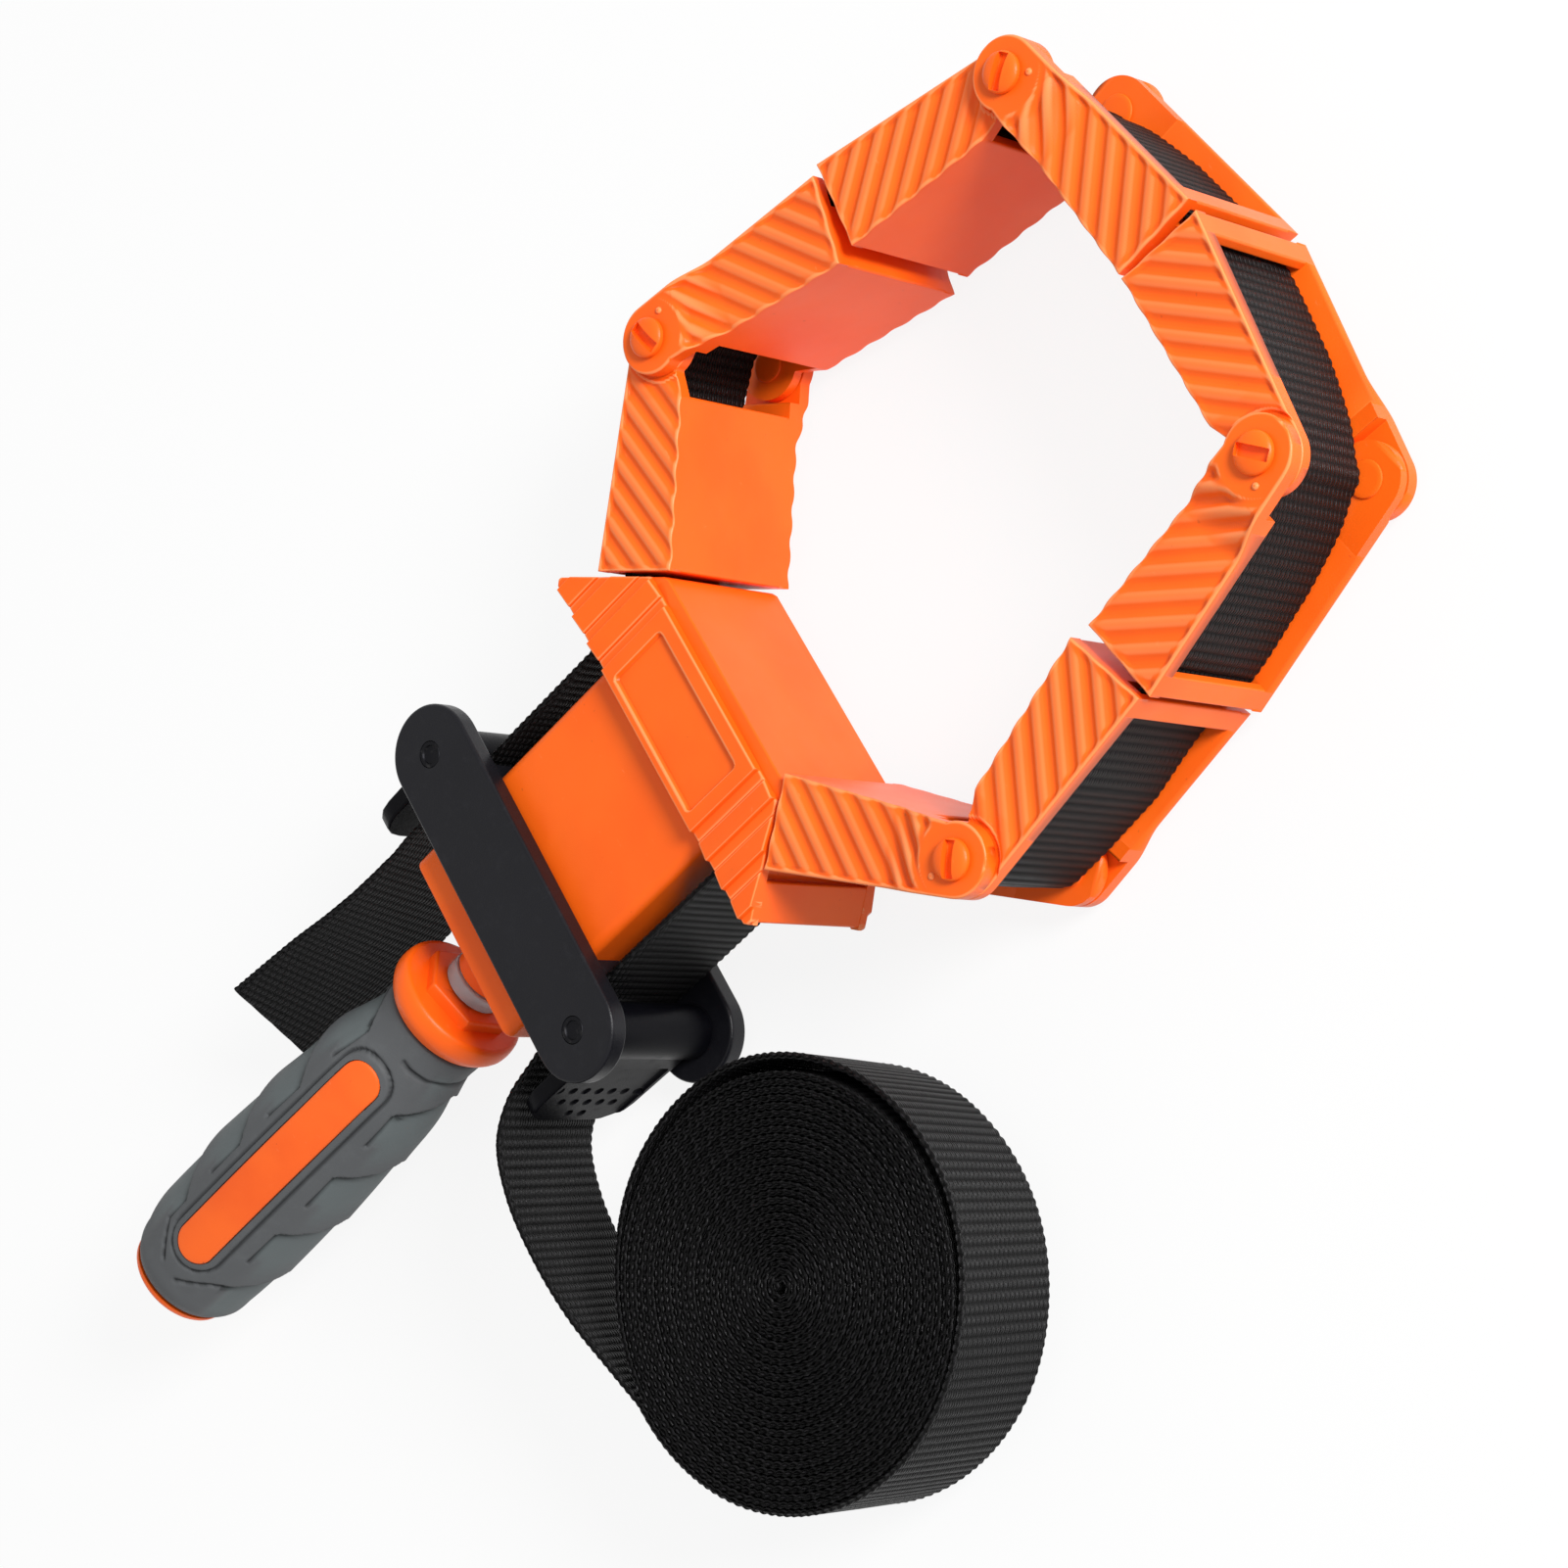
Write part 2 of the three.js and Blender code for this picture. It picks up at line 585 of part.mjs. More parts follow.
function addHandle() {
  const clipTop = housingEndThick - housingEnd + runGap + clipThick;
  const bore = spindleRadius + runGap;
  const chamfer = spindleRadius / 4;
  addPiece('spindle', toGeometry(turned([
    [0, -spindleTip], [spindleRadius - chamfer, -spindleTip], [spindleRadius, -spindleTip - chamfer],
    [spindleRadius, bossTop - spindleDeep], [0, bossTop - spindleDeep],
  ], 24)), steel);
  addPiece('spindle_clip', toGeometry(cut(
    barY(clipRadius, clipTop - clipThick, clipTop),
    barY(bore, clipTop - clipThick - overrun, clipTop + overrun),
  )), steel);
  addPiece('thrust_washer', toGeometry(cut(
    barY(washerRadius, washerTop - washerThick, washerTop),
    barY(bore, washerTop - washerThick - overrun, washerTop + overrun),
  )), clear);
  addPiece('handle_core', toGeometry(coreSolid()), orange);
  addPiece('grip_sleeve', toGeometry(gripSolid()), rubber);
  addPiece('grip_inlay_front', toGeometry(inlaySolid()), orange);
  addPiece('grip_inlay_rear', toGeometry(inlaySolid().rotate([0, 180, 0])), orange);
  const capRadius = gripRadius * gripProfileShares[gripProfileShares.length - 1][1];
  const domeSteps = 5;
  const cap = [[0, capTop]];
  for (let i = 0; i <= domeSteps; i++) {
    const turn = i / domeSteps * Math.PI / 2;
    cap.push([capRadius * Math.cos(turn), capTop - capLength * Math.sin(turn)]);
  }
  addPiece('end_cap', toGeometry(turned(cap)), orange);
}

// Webbing: a strip of four corners at each station of a centre line in the XY plane
function stripSolid(line, cutBack = 0) {
  const cornerCount = 4;
  const corners = [];
  const faces = [];
  line.forEach((point, i) => {
    const before = line[Math.max(i - 1, 0)];
    const after = line[Math.min(i + 1, line.length - 1)];
    const heading = after.clone().sub(before).normalize();
    const side = leftOf(heading).multiplyScalar(webThick / 2);
    const back = i === line.length - 1 ? heading.clone().multiplyScalar(cutBack) : new THREE.Vector2();
    for (const [across, z] of [[1, -1], [1, 1], [-1, 1], [-1, -1]]) {
      const shift = z > 0 ? back : new THREE.Vector2();
      corners.push(point.x + side.x * across - shift.x, point.y + side.y * across - shift.y, z * webWidth / 2);
    }
    if (i === 0) return;
    const [a, b] = [cornerCount * (i - 1), cornerCount * i];
    for (let k = 0; k < cornerCount; k++) {
      const next = (k + 1) % cornerCount;
      faces.push(a + k, a + next, b + next, a + k, b + next, b + k);
    }
  });
  const last = cornerCount * (line.length - 1);
  faces.push(0, 3, 2, 0, 2, 1, last, last + 1, last + 2, last, last + 2, last + 3);
  const geometry = new THREE.BufferGeometry();
  geometry.setAttribute('position', new THREE.BufferAttribute(new Float32Array(corners), 3));
  geometry.setIndex(faces);
  return toSolid(geometry);
}

function smoothLine(points, steps) {
  const curve = new THREE.CatmullRomCurve3(points.map((p) => new THREE.Vector3(p.x, p.y, 0)), false, 'centripetal');
  return curve.getSpacedPoints(steps).map((p) => new THREE.Vector2(p.x, p.y));
}

// Where the webbing lies on a link: places along it and outwards, from mid-link to the hinge
const midReach = linkReach / 2;
const bendShares = [[0.5, 0.93], [0.24, 0.8], [0.085, 0.57]]; // of the reach, and of the height at the free end
const bendOutShare = 0.53; // at the hinge itself

function bendLine(first, second) {
  const side = (link) => bendShares.map(([reach, height]) => onLink(link, linkReach * reach, webHeight * height));
  const outwards = towards(first.angle).add(towards(second.angle)).normalize().negate();
  const crown = along(first.pin, outwards, webHeight * bendOutShare);
  return smoothLine([...side(first), crown, ...side(second).reverse()], 16);
}

// From the middle of one link, straight past its free end, to the middle of the next
function joinLine(from, to) {
  return [
    onLink(from, midReach, webHeight * bendShares[0][1]),
    onLink(from, linkReach - barLength, webHeight - jawStep / 4),
    onLink(to, linkReach - barLength, webHeight),
    onLink(to, midReach, webHeight * bendShares[0][1]),
  ];
}

// Pieces of webbing meet end to end with a small gap: each line is shortened a little at both ends
function trimmed(line, start = runGap / 2, end = runGap / 2) {
  const points = line.map((p) => p.clone());
  const last = points.length - 1;
  points[0].addScaledVector(points[1].clone().sub(points[0]).normalize(), start);
  points[last].addScaledVector(points[last - 1].clone().sub(points[last]).normalize(), end);
  return points;
}

const wingMid = new THREE.Vector2(-webRunX, webCorner.y - guideOff);
const camStart = new THREE.Vector2(-webRunX, camY);

function entryLine() {
  const bow = guideOff * Math.tan(slant / 2);
  return smoothLine([
    onLink(links.a1, midReach, webHeight * bendShares[0][1]),
    onLink(links.a1, linkReach - barLength, webHeight),
    onLink(links.a1, linkReach, webHeight),
    webEntry,
    along(webCorner, towards(angleA1), -bow),
    along(webCorner, new THREE.Vector2(-1, -1), bow / 8),
    new THREE.Vector2(webCorner.x, webCorner.y - bow),
    wingMid,
  ], 16);
}

// The free tail hangs from the left cam; the feed runs from the right cam to the roll. Each place on the way
// is given outwards and down from the cam
const tailRoute = [[0.1, 7.4], [0.4, 18.4], [1, 30], [2, 39.4], [2.9, 50.4], [2.8, 61.4], [2.4, 71.4], [2, 81.9]];
const feedRoute = [
  [0.3, 7.4], [2, 15.4], [4, 23.4], [8.8, 30], [18.3, 33.6], [30.8, 34.4], [43.3, 33.2], [54.8, 30.4],
];
const fromCam = (route, side) => route.map(([out, down]) => new THREE.Vector2(side * (webRunX + out), camY - down));
const rollCentre = new THREE.Vector2(webRunX + rollOut, camY + rollUp);

function rollLine() {
  const line = [];
  const outer = rollRadius - webThick / 2;
  for (let i = 0; i <= rollTurns * rollSteps; i++) {
    const turn = i / rollSteps;
    const angle = 2 * Math.PI * turn - Math.PI / 2;
    line.push(along(rollCentre, towards(angle), outer - rollPitch * turn));
  }
  return line;
}

// Least distance between two turns of the roll, measured on its points
function rollGap(line) {
  let least = Infinity;
  for (let i = 0; i < line.length; i++) {
    for (let k = i + rollSteps / 2; k < line.length; k++) least = Math.min(least, line[i].distanceTo(line[k]));
  }
  return least - webThick;
}

function addWebbing() {
  const add = (name, solid) => addPiece(name, toGeometry(solid), web);
  const both = (leftName, rightName, line) => {
    const solid = stripSolid(line);
    add(leftName, solid);
    add(rightName, solid.mirror([1, 0, 0]));
  };
  both('strap_left_entry', 'strap_right_entry', trimmed(entryLine()));
  both('strap_bend_a', 'strap_bend_d', trimmed(bendLine(links.a1, links.a2)));
  both('strap_join_ab', 'strap_join_cd', trimmed(joinLine(links.a2, links.b1)));
  both('strap_bend_b', 'strap_bend_c', trimmed(bendLine(links.b1, links.b2)));
  const middle = joinLine(links.b2, links.c1).slice(0, 2);
  middle.push(new THREE.Vector2(-runGap / 2, middle[1].y));
  both('strap_join_bc_left', 'strap_join_bc_right', trimmed(middle, runGap / 2, 0));
  both('strap_left_run', 'strap_right_run', trimmed([wingMid, camStart]));
  add('strap_tail', stripSolid(trimmed(smoothLine([camStart, ...fromCam(tailRoute, -1)], 6)), tailCut));
  const roll = rollLine();
  const rollStart = along(roll[0], new THREE.Vector2(-1, 0), runGap);
  const feedStart = mirrored(camStart);
  const feed = smoothLine([feedStart, ...fromCam(feedRoute, 1), rollStart], 26);
  add('strap_feed', stripSolid(trimmed(feed, runGap / 2, 0)));
  add('strap_roll', stripSolid(roll));
  console.log(`roll: least gap between turns ${rollGap(roll).toFixed(2)} mm`);
}

addPiece('pressure_head', toGeometry(headSolid()), orange);
addPiece('stem_housing', toGeometry(housingSolid()), orange);
addCarriage();
addHandle();
addLinks();
addHingePins();
addWebbing();

export default part;
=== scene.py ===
# %% [markdown]
# A band clamp in Blender
#
# The object is a ring of eight hinged orange jaw links and a pressure head. Black webbing runs round the
# ring, through two cam levers on a black carriage, and the spare webbing is rolled up at the side. A screw
# handle draws the carriage back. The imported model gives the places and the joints, and this lesson dresses
# every piece of it. All shapes are worked out in millimetres and become metres in one place.

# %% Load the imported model
import json
import math

import bmesh
import bpy
import numpy as np
from mathutils import Matrix, Vector


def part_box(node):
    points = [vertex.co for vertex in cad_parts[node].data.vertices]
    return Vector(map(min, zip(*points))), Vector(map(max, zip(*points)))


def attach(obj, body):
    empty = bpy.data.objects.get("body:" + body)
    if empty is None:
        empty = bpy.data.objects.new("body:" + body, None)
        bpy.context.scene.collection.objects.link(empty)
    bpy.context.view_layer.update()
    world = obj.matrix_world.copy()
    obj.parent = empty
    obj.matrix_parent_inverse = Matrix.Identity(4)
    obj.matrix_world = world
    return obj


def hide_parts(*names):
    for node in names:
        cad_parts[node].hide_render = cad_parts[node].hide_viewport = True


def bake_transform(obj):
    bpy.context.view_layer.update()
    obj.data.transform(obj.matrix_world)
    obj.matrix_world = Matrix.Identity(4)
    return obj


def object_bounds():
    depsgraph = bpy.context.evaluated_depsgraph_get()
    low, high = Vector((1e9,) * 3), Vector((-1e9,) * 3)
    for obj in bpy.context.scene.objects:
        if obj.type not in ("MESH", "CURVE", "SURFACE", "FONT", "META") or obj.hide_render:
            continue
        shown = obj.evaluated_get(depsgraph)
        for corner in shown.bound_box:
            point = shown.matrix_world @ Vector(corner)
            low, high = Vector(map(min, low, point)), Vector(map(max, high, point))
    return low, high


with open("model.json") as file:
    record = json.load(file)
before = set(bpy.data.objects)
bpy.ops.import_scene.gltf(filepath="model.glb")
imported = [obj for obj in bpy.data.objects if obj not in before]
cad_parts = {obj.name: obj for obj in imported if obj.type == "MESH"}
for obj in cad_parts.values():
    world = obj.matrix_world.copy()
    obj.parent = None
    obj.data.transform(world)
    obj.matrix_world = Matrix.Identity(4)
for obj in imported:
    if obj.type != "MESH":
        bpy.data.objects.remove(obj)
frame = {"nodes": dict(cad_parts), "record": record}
cad_box = [[float(v) for v in corner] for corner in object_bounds()]
MM = 0.001
print("model box in metres:", cad_box)

# %% [markdown]
# The camera looks down on the clamp from its front right side, from about seventy centimetres away. A
# pinhole camera was fitted to known lengths of the clamp, and its place and directions are written here as
# they came.

# %% Place the camera
LENS = 87.26
SENSOR = 36
CAMERA_PLACE = (0.291127, 0.297207, 0.501946)
camera_data = bpy.data.cameras.new("camera")
camera_data.lens = LENS
camera_data.sensor_width = SENSOR
camera = bpy.data.objects.new("camera", camera_data)
bpy.context.scene.collection.objects.link(camera)
camera_right = Vector((0.4455, 0.6339, -0.6322))
camera_up = Vector((-0.7876, 0.6133, 0.0599))
camera_back = Vector((0.4257, 0.4713, 0.7724))
turn = Matrix((camera_right, camera_up, camera_back)).transposed().to_4x4()
camera.matrix_world = Matrix.Translation(CAMERA_PLACE) @ turn
bpy.context.scene.camera = camera
print("camera at", tuple(round(v, 3) for v in camera.location))

# %% [markdown]
# Every rigid piece starts as a flat outline. These helpers round an outline's corners, shrink it evenly
# and join rings of points with faces. An even shrink near the top and bottom of a prism gives it rounded
# edges, as a moulded part has, without any bevel tool.

# %% Outline helpers
def unit(vector):
    return vector / np.linalg.norm(vector)


def towards(angle):
    return np.array([math.cos(angle), math.sin(angle)])


def left_of(vector):
    return np.array([-vector[1], vector[0]])


def arc(centre, radius, start, end, steps):
    angles = np.linspace(start, end, steps + 1)
    return np.column_stack([centre[0] + radius * np.cos(angles), centre[1] + radius * np.sin(angles)])


def circle(centre, radius, sides):
    return arc(centre, radius, 0, 2 * math.pi, sides)[:-1]


def fillet(corners, radii, steps=4):
    """Round the corners of an outline; a radius of 0 keeps a corner sharp."""
    corners = np.array(corners, float)
    radii = np.broadcast_to(radii, len(corners))
    rounded = []
    for i, (corner, radius) in enumerate(zip(corners, radii)):
        if radius <= 0:
            rounded.append([corner])
            continue
        back = unit(corners[i - 1] - corner)
        ahead = unit(corners[(i + 1) % len(corners)] - corner)
        half = math.acos(np.clip(back @ ahead, -1, 1)) / 2
        centre = corner + unit(back + ahead) * radius / math.sin(half)
        first = corner + back * radius / math.tan(half) - centre
        last = corner + ahead * radius / math.tan(half) - centre
        start = math.atan2(first[1], first[0])
        sweep = (math.atan2(last[1], last[0]) - start + math.pi) % (2 * math.pi) - math.pi
        rounded.append(arc(centre, radius, start, start + sweep, steps))
    return np.concatenate(rounded)


def inset(outline, distance):
    """Move a counter-clockwise outline inwards by the same distance everywhere."""
    ahead = np.roll(outline, -1, axis=0) - outline
    ahead /= np.linalg.norm(ahead, axis=1)[:, None]
    normal = np.column_stack([-ahead[:, 1], ahead[:, 0]])
    before = np.roll(normal, 1, axis=0)
    mitre = (normal + before) / (1 + (normal * before).sum(axis=1))[:, None]
    return outline + distance * mitre


# %% [markdown]
# Pieces are made of closed shells. A shell is a list of points and faces; a prism, a turned shape and a
# strip are all rings of points joined one to the next.

# %% Shell helpers
def ring_faces(rings, size, caps=True, closed=False):
    faces = []
    last = rings if closed else rings - 1
    for r in range(last):
        a, b = r * size, (r + 1) % rings * size
        for k in range(size):
            n = (k + 1) % size
            faces.append((a + k, a + n, b + n, b + k))
    if caps and not closed:
        faces.append(tuple(range(size - 1, -1, -1)))
        faces.append(tuple(range((rings - 1) * size, rings * size)))
    return faces


def rounded_prism(outline, low, high, edge=0.3, steps=3, sharp_low=False, sharp_high=False):
    """Stand an outline up from z = low to z = high with rounded edges."""
    outline = np.array(outline, float)
    levels = []
    if sharp_low:
        levels.append((0.0, low))
    else:
        for a in np.linspace(0, math.pi / 2, steps + 1):
            levels.append((edge * (1 - math.sin(a)), low + edge * (1 - math.cos(a))))
    if sharp_high:
        levels.append((0.0, high))
    else:
        for a in np.linspace(math.pi / 2, 0, steps + 1):
            levels.append((edge * (1 - math.sin(a)), high - edge * (1 - math.cos(a))))
    rings = [np.column_stack([inset(outline, d), np.full(len(outline), z)]) for d, z in levels]
    return np.concatenate(rings), ring_faces(len(rings), len(outline))


def round_y(radius, angle, y):
    """Points at a radius and an angle about the Y axis; angle 0 points along Z."""
    return np.stack([radius * np.sin(angle), y, radius * np.cos(angle)], axis=-1).reshape(-1, 3)


def turned(profile, sides, closed=False):
    """Turn a profile of (radius, y) pairs about the Y axis; a closed profile makes a piece with a bore."""
    angles = np.linspace(0, 2 * math.pi, sides, endpoint=False)
    rings = [round_y(radius, angles, np.full(sides, y)) for radius, y in profile]
    return np.concatenate(rings), ring_faces(len(rings), sides, closed=closed)


def stacked(profile, centre, sides):
    """Circles of the given (radius, z) pairs about an axis along Z, joined one to the next."""
    rings = [np.column_stack([circle(centre, r, sides), np.full(sides, z)]) for r, z in profile]
    return np.concatenate(rings), ring_faces(len(rings), sides)


ROD_SIDES = 48


def block(x0, x1, y0, y1, z0, z1):
    outline = np.array([(x0, y0), (x1, y0), (x1, y1), (x0, y1)], float)
    return rounded_prism(outline, z0, z1, sharp_low=True, sharp_high=True)


def rod(radius, low, high, x=0.0, y=0.0, edge=0.0):
    outline = circle((x, y), radius, ROD_SIDES)
    return rounded_prism(outline, low, high, max(edge, 0.01), sharp_low=edge == 0, sharp_high=edge == 0)


def moved(shell, matrix):
    points, faces = shell
    turned_points = points @ np.array(matrix.to_3x3()).T + np.array(matrix.translation)
    return turned_points, faces


def flipped(shell, axis):
    points, faces = shell
    sign = np.ones(3)
    sign[axis] = -1
    return points * sign, [tuple(reversed(face)) for face in faces]


def along_y(outline, low, high, **edges):
    """A prism whose outline is given in x and z and which runs from y = low to y = high."""
    upright = rounded_prism(outline, low, high, **edges)
    return flipped(moved(upright, Matrix.Rotation(-math.pi / 2, 4, "X")), 2)


def both_sides(shell):
    return [shell, flipped(shell, 0)]


def rod_y(radius, low, high, **edges):
    return along_y(circle((0, 0), radius, ROD_SIDES), low, high, **edges)


# %% [markdown]
# A shell becomes a Blender object in metres. Shells that belong to one moulded piece are joined, and holes
# are cut, with Boolean modifiers that are applied at once. Edges sharper than a set angle stay crisp, and
# weighted normals keep large flat faces flat beside small rounded ones.

# %% Object helpers
WELD = 1e-6
FLAT_WEIGHT = 80


def in_scene(name, data):
    thing = bpy.data.objects.new(name, data)
    bpy.context.scene.collection.objects.link(thing)
    return thing


def new_object(name, shell):
    points, faces = shell
    mesh = bpy.data.meshes.new(name)
    mesh.from_pydata((np.asarray(points) * MM).tolist(), [], faces)
    return in_scene(name, mesh)


def clean(thing, weld=WELD):
    """Turn all faces outwards, after welding points that lie within the given distance in metres."""
    net = bmesh.new()
    net.from_mesh(thing.data)
    if weld:
        bmesh.ops.remove_doubles(net, verts=net.verts, dist=weld)
        bmesh.ops.dissolve_degenerate(net, edges=net.edges, dist=weld / 10)
    bmesh.ops.recalc_face_normals(net, faces=net.faces)
    net.to_mesh(thing.data)
    net.free()


def crisp_above(thing, angle):
    thing.data.shade_smooth()
    thing.data.set_sharp_from_angle(angle=math.radians(angle))


def finish_edges(thing, angle=34):
    crisp_above(thing, angle)
    modifier = thing.modifiers.new("even shading", "WEIGHTED_NORMAL")
    modifier.keep_sharp = True
    modifier.weight = FLAT_WEIGHT


def store(thing, name, values):
    """Keep one number for each point of the mesh, for the material to read."""
    layer = thing.data.attributes.new(name, "FLOAT", "POINT")
    layer.data.foreach_set("value", values.reshape(-1).astype(np.float32))


def read_points(thing, what="co"):
    numbers = np.empty(len(thing.data.vertices) * 3)
    thing.data.vertices.foreach_get(what, numbers)
    return numbers.reshape(-1, 3)


# %% Joining and cutting
def boolean(thing, operation, tool):
    modifier = thing.modifiers.new("join", "BOOLEAN")
    modifier.operation = operation
    modifier.solver = "MANIFOLD"
    modifier.object = tool


def apply_booleans(thing, tools):
    """Make the result of the modifiers the object's own mesh, and take the tools away."""
    bpy.context.view_layer.update()
    depsgraph = bpy.context.evaluated_depsgraph_get()
    result = bpy.data.meshes.new_from_object(thing.evaluated_get(depsgraph))
    thing.modifiers.clear()
    thing.data = result
    for tool in tools:
        bpy.data.objects.remove(tool, do_unlink=True)
    clean(thing, 2 * WELD)


def combine(name, base, cut=(), add=(), angle=34):
    """One object from a base shell, with holes cut first and further shells added after."""
    thing = new_object(name, base)
    clean(thing)
    tools = []
    for operation, shells in (("DIFFERENCE", cut), ("UNION", add)):
        for shell in shells:
            tool = new_object(name + "_helper", shell)
            clean(tool)
            boolean(thing, operation, tool)
            tools.append(tool)
    if tools:
        apply_booleans(thing, tools)
    finish_edges(thing, angle)
    print(f"{name}: {len(thing.data.polygons)} faces")
    return thing


def cut_holes(thing, *groups):
    """Cut groups of holes in turn; the shells of a group are joined into one tool first."""
    for shells in groups:
        tool = combine("cut_tool", shells[0], add=shells[1:])
        thing.modifiers.clear()
        boolean(thing, "DIFFERENCE", tool)
        apply_booleans(thing, [tool])


# %% [markdown]
# Materials are written as sums. A small class wraps a socket and overloads the operators, so that a mask
# can be written as 1 - mask, and each operator adds its Math node. Colours go through Mix nodes, and any
# other node comes from one method that takes the type, the settings and the values or links of the
# sockets.

# %% Shader helpers
class Value:
    """A socket that carries numbers through the node tree of a finish."""

    def __init__(self, finish, socket):
        self.finish = finish
        self.socket = socket

    def __add__(self, other):
        return self.finish.maths("ADD", self, other)

    def __radd__(self, other):
        return self.finish.maths("ADD", other, self)

    def __sub__(self, other):
        return self.finish.maths("SUBTRACT", self, other)

    def __rsub__(self, other):
        return self.finish.maths("SUBTRACT", other, self)

    def __mul__(self, other):
        return self.finish.maths("MULTIPLY", self, other)

    def __rmul__(self, other):
        return self.finish.maths("MULTIPLY", other, self)

    def __truediv__(self, other):
        return self.finish.maths("DIVIDE", self, other)

    def __rtruediv__(self, other):
        return self.finish.maths("DIVIDE", other, self)

    def output(self, name):
        """Another output of the node that this value comes from."""
        return Value(self.finish, self.socket.node.outputs[name])


class Finish:
    """A material and the one Principled shader that it ends in."""

    def __init__(self, name, **constants):
        self.material = bpy.data.materials.new(name)
        self.material.use_nodes = True
        self.nodes = self.material.node_tree.nodes
        self.links = self.material.node_tree.links
        self.shader = self.nodes["Principled BSDF"]
        for socket, value in constants.items():
            self.shader.inputs[socket.replace("_", " ")].default_value = value

    def node(self, kind, settings=None, values=None, out=0):
        made = self.nodes.new(kind)
        for key, setting in (settings or {}).items():
            setattr(made, key, setting)
        for key, value in (values or {}).items():
            self.feed(made.inputs[key], value)
        return Value(self, made.outputs[out])

    def feed(self, socket, value):
        if isinstance(value, Value):
            self.links.new(value.socket, socket)
        else:
            socket.default_value = value

    def maths(self, operation, *values):
        return self.node("ShaderNodeMath", {"operation": operation}, dict(enumerate(values)))

    def smooth(self, value, low, high):
        settings = {"interpolation_type": "SMOOTHSTEP"}
        return self.node("ShaderNodeMapRange", settings, {"Value": value, "From Min": low, "From Max": high})

    def mix(self, share, first, second):
        """A mix of two colours; sockets 6 and 7 of the Mix node are its colours."""
        return self.node("ShaderNodeMix", {"data_type": "RGBA"}, {0: share, 6: first, 7: second}, out=2)

    def noise(self, scale, detail=2.0, roughness=0.5, stretch=(1, 1, 1)):
        place = self.node("ShaderNodeTexCoord", out="Object")
        if stretch != (1, 1, 1):
            place = self.node("ShaderNodeVectorMath", {"operation": "MULTIPLY"}, {0: place, 1: stretch})
        values = {"Vector": place, "Scale": scale, "Detail": detail, "Roughness": roughness}
        return self.node("ShaderNodeTexNoise", None, values, out="Fac")

    def attribute(self, name):
        return self.node("ShaderNodeAttribute", {"attribute_name": name}, out="Fac")

    def bump(self, height, distance, under=None):
        values = {"Height": height, "Distance": distance}
        if under is not None:
            values["Normal"] = under
        return self.node("ShaderNodeBump", None, values)

    def set(self, socket, value):
        self.feed(self.shader.inputs[socket], value)


def colour(red, green, blue):
    """A colour as it looks on a screen, 0 to 255, turned into the linear numbers that shaders use."""
    linear = []
    for share in (red / 255, green / 255, blue / 255):
        linear.append(share / 12.92 if share <= 0.04045 else ((share + 0.055) / 1.055) ** 2.4)
    return (*linear, 1.0)


# %% [markdown]
# The jaws, the head and the housing are moulded in bright orange nylon. It is satin: the skin has a fine
# grain that spreads the light, the colour drifts a little from flow in the mould, and handling leaves
# faint paler scuffs and a few dark specks. Noise at three scales gives these, and the grain is a shallow
# bump. Edges get a painted highlight and inner corners painted shade, from a number that the mesh carries.

# %% Orange nylon
def orange_finish(name, base, deep, speck_share, roughness):
    finish = Finish(name, IOR=1.5, Specular_IOR_Level=0.28)
    drift = finish.noise(45, 3.0)
    body = finish.mix(finish.smooth(drift, 0.35, 0.7), base, deep)
    scuffs = finish.smooth(finish.noise(320, 4.0, 0.7, (1, 2.5, 1)), 0.66, 0.74)
    paler = colour(255, 150, 96)
    body = finish.mix(scuffs * 0.28, body, paler)
    specks = finish.smooth(finish.noise(900, 1.0), 0.76, 0.8)
    body = finish.mix(specks * speck_share, body, colour(120, 52, 28))
    # A painted highlight on sharp edges and rib crests, and painted shade in inner corners, both from the
    # mesh's edge number
    edge = finish.attribute("edge")
    body = finish.mix(finish.smooth(edge, 0.01, 0.1) * 0.6, body, colour(255, 163, 104))
    body = finish.mix(finish.smooth(0 - edge, 0.04, 0.2) * 0.35, body, colour(205, 58, 10))
    finish.set("Base Color", body)
    finish.set("Roughness", roughness + (drift - 0.5) * 0.18 + scuffs * 0.12)
    grain = finish.noise(5200, 2.0)
    finish.set("Normal", finish.bump(grain, 0.00003, finish.bump(drift, 0.0004)))
    return finish.material


orange_nylon = orange_finish("orange nylon", colour(255, 105, 20), colour(251, 97, 16), 0.22, 0.36)
inlay_orange = orange_finish("inlay orange", colour(254, 106, 32), colour(244, 94, 28), 0.6, 0.5)
print("made", orange_nylon.name, "and", inlay_orange.name)

# %% [markdown]
# The carriage plates and the levers are the same kind of nylon in black. Their skin is a little glossier,
# with a fine grain and a thin haze of dust that lifts the black. The levers get a deeper black and less
# shine, as painted shade on the same nylon.

# %% Black nylon
def black_finish(name, shade, shine):
    finish = Finish(name, IOR=1.5, Specular_IOR_Level=shine)
    drift = finish.noise(60, 3.0)
    dust = finish.smooth(finish.noise(420, 4.0, 0.65), 0.5, 0.8)
    body = finish.mix(drift, colour(shade, shade, shade + 4), colour(shade + 6, shade + 6, shade + 11))
    body = finish.mix(dust * 0.2, body, colour(shade + 26, shade + 26, shade + 30))
    finish.set("Base Color", body)
    finish.set("Roughness", 0.32 + dust * 0.14)
    finish.set("Normal", finish.bump(finish.noise(4600, 2.0), 0.00004))
    return finish.material


black_nylon = black_finish("black nylon", 18, 0.26)
# A darker, less shiny copy for the levers, as painted shade on the same nylon
lever_nylon_painted_shade = black_finish("lever nylon", 5, 0.09)
print("made", black_nylon.name, "and", lever_nylon_painted_shade.name)
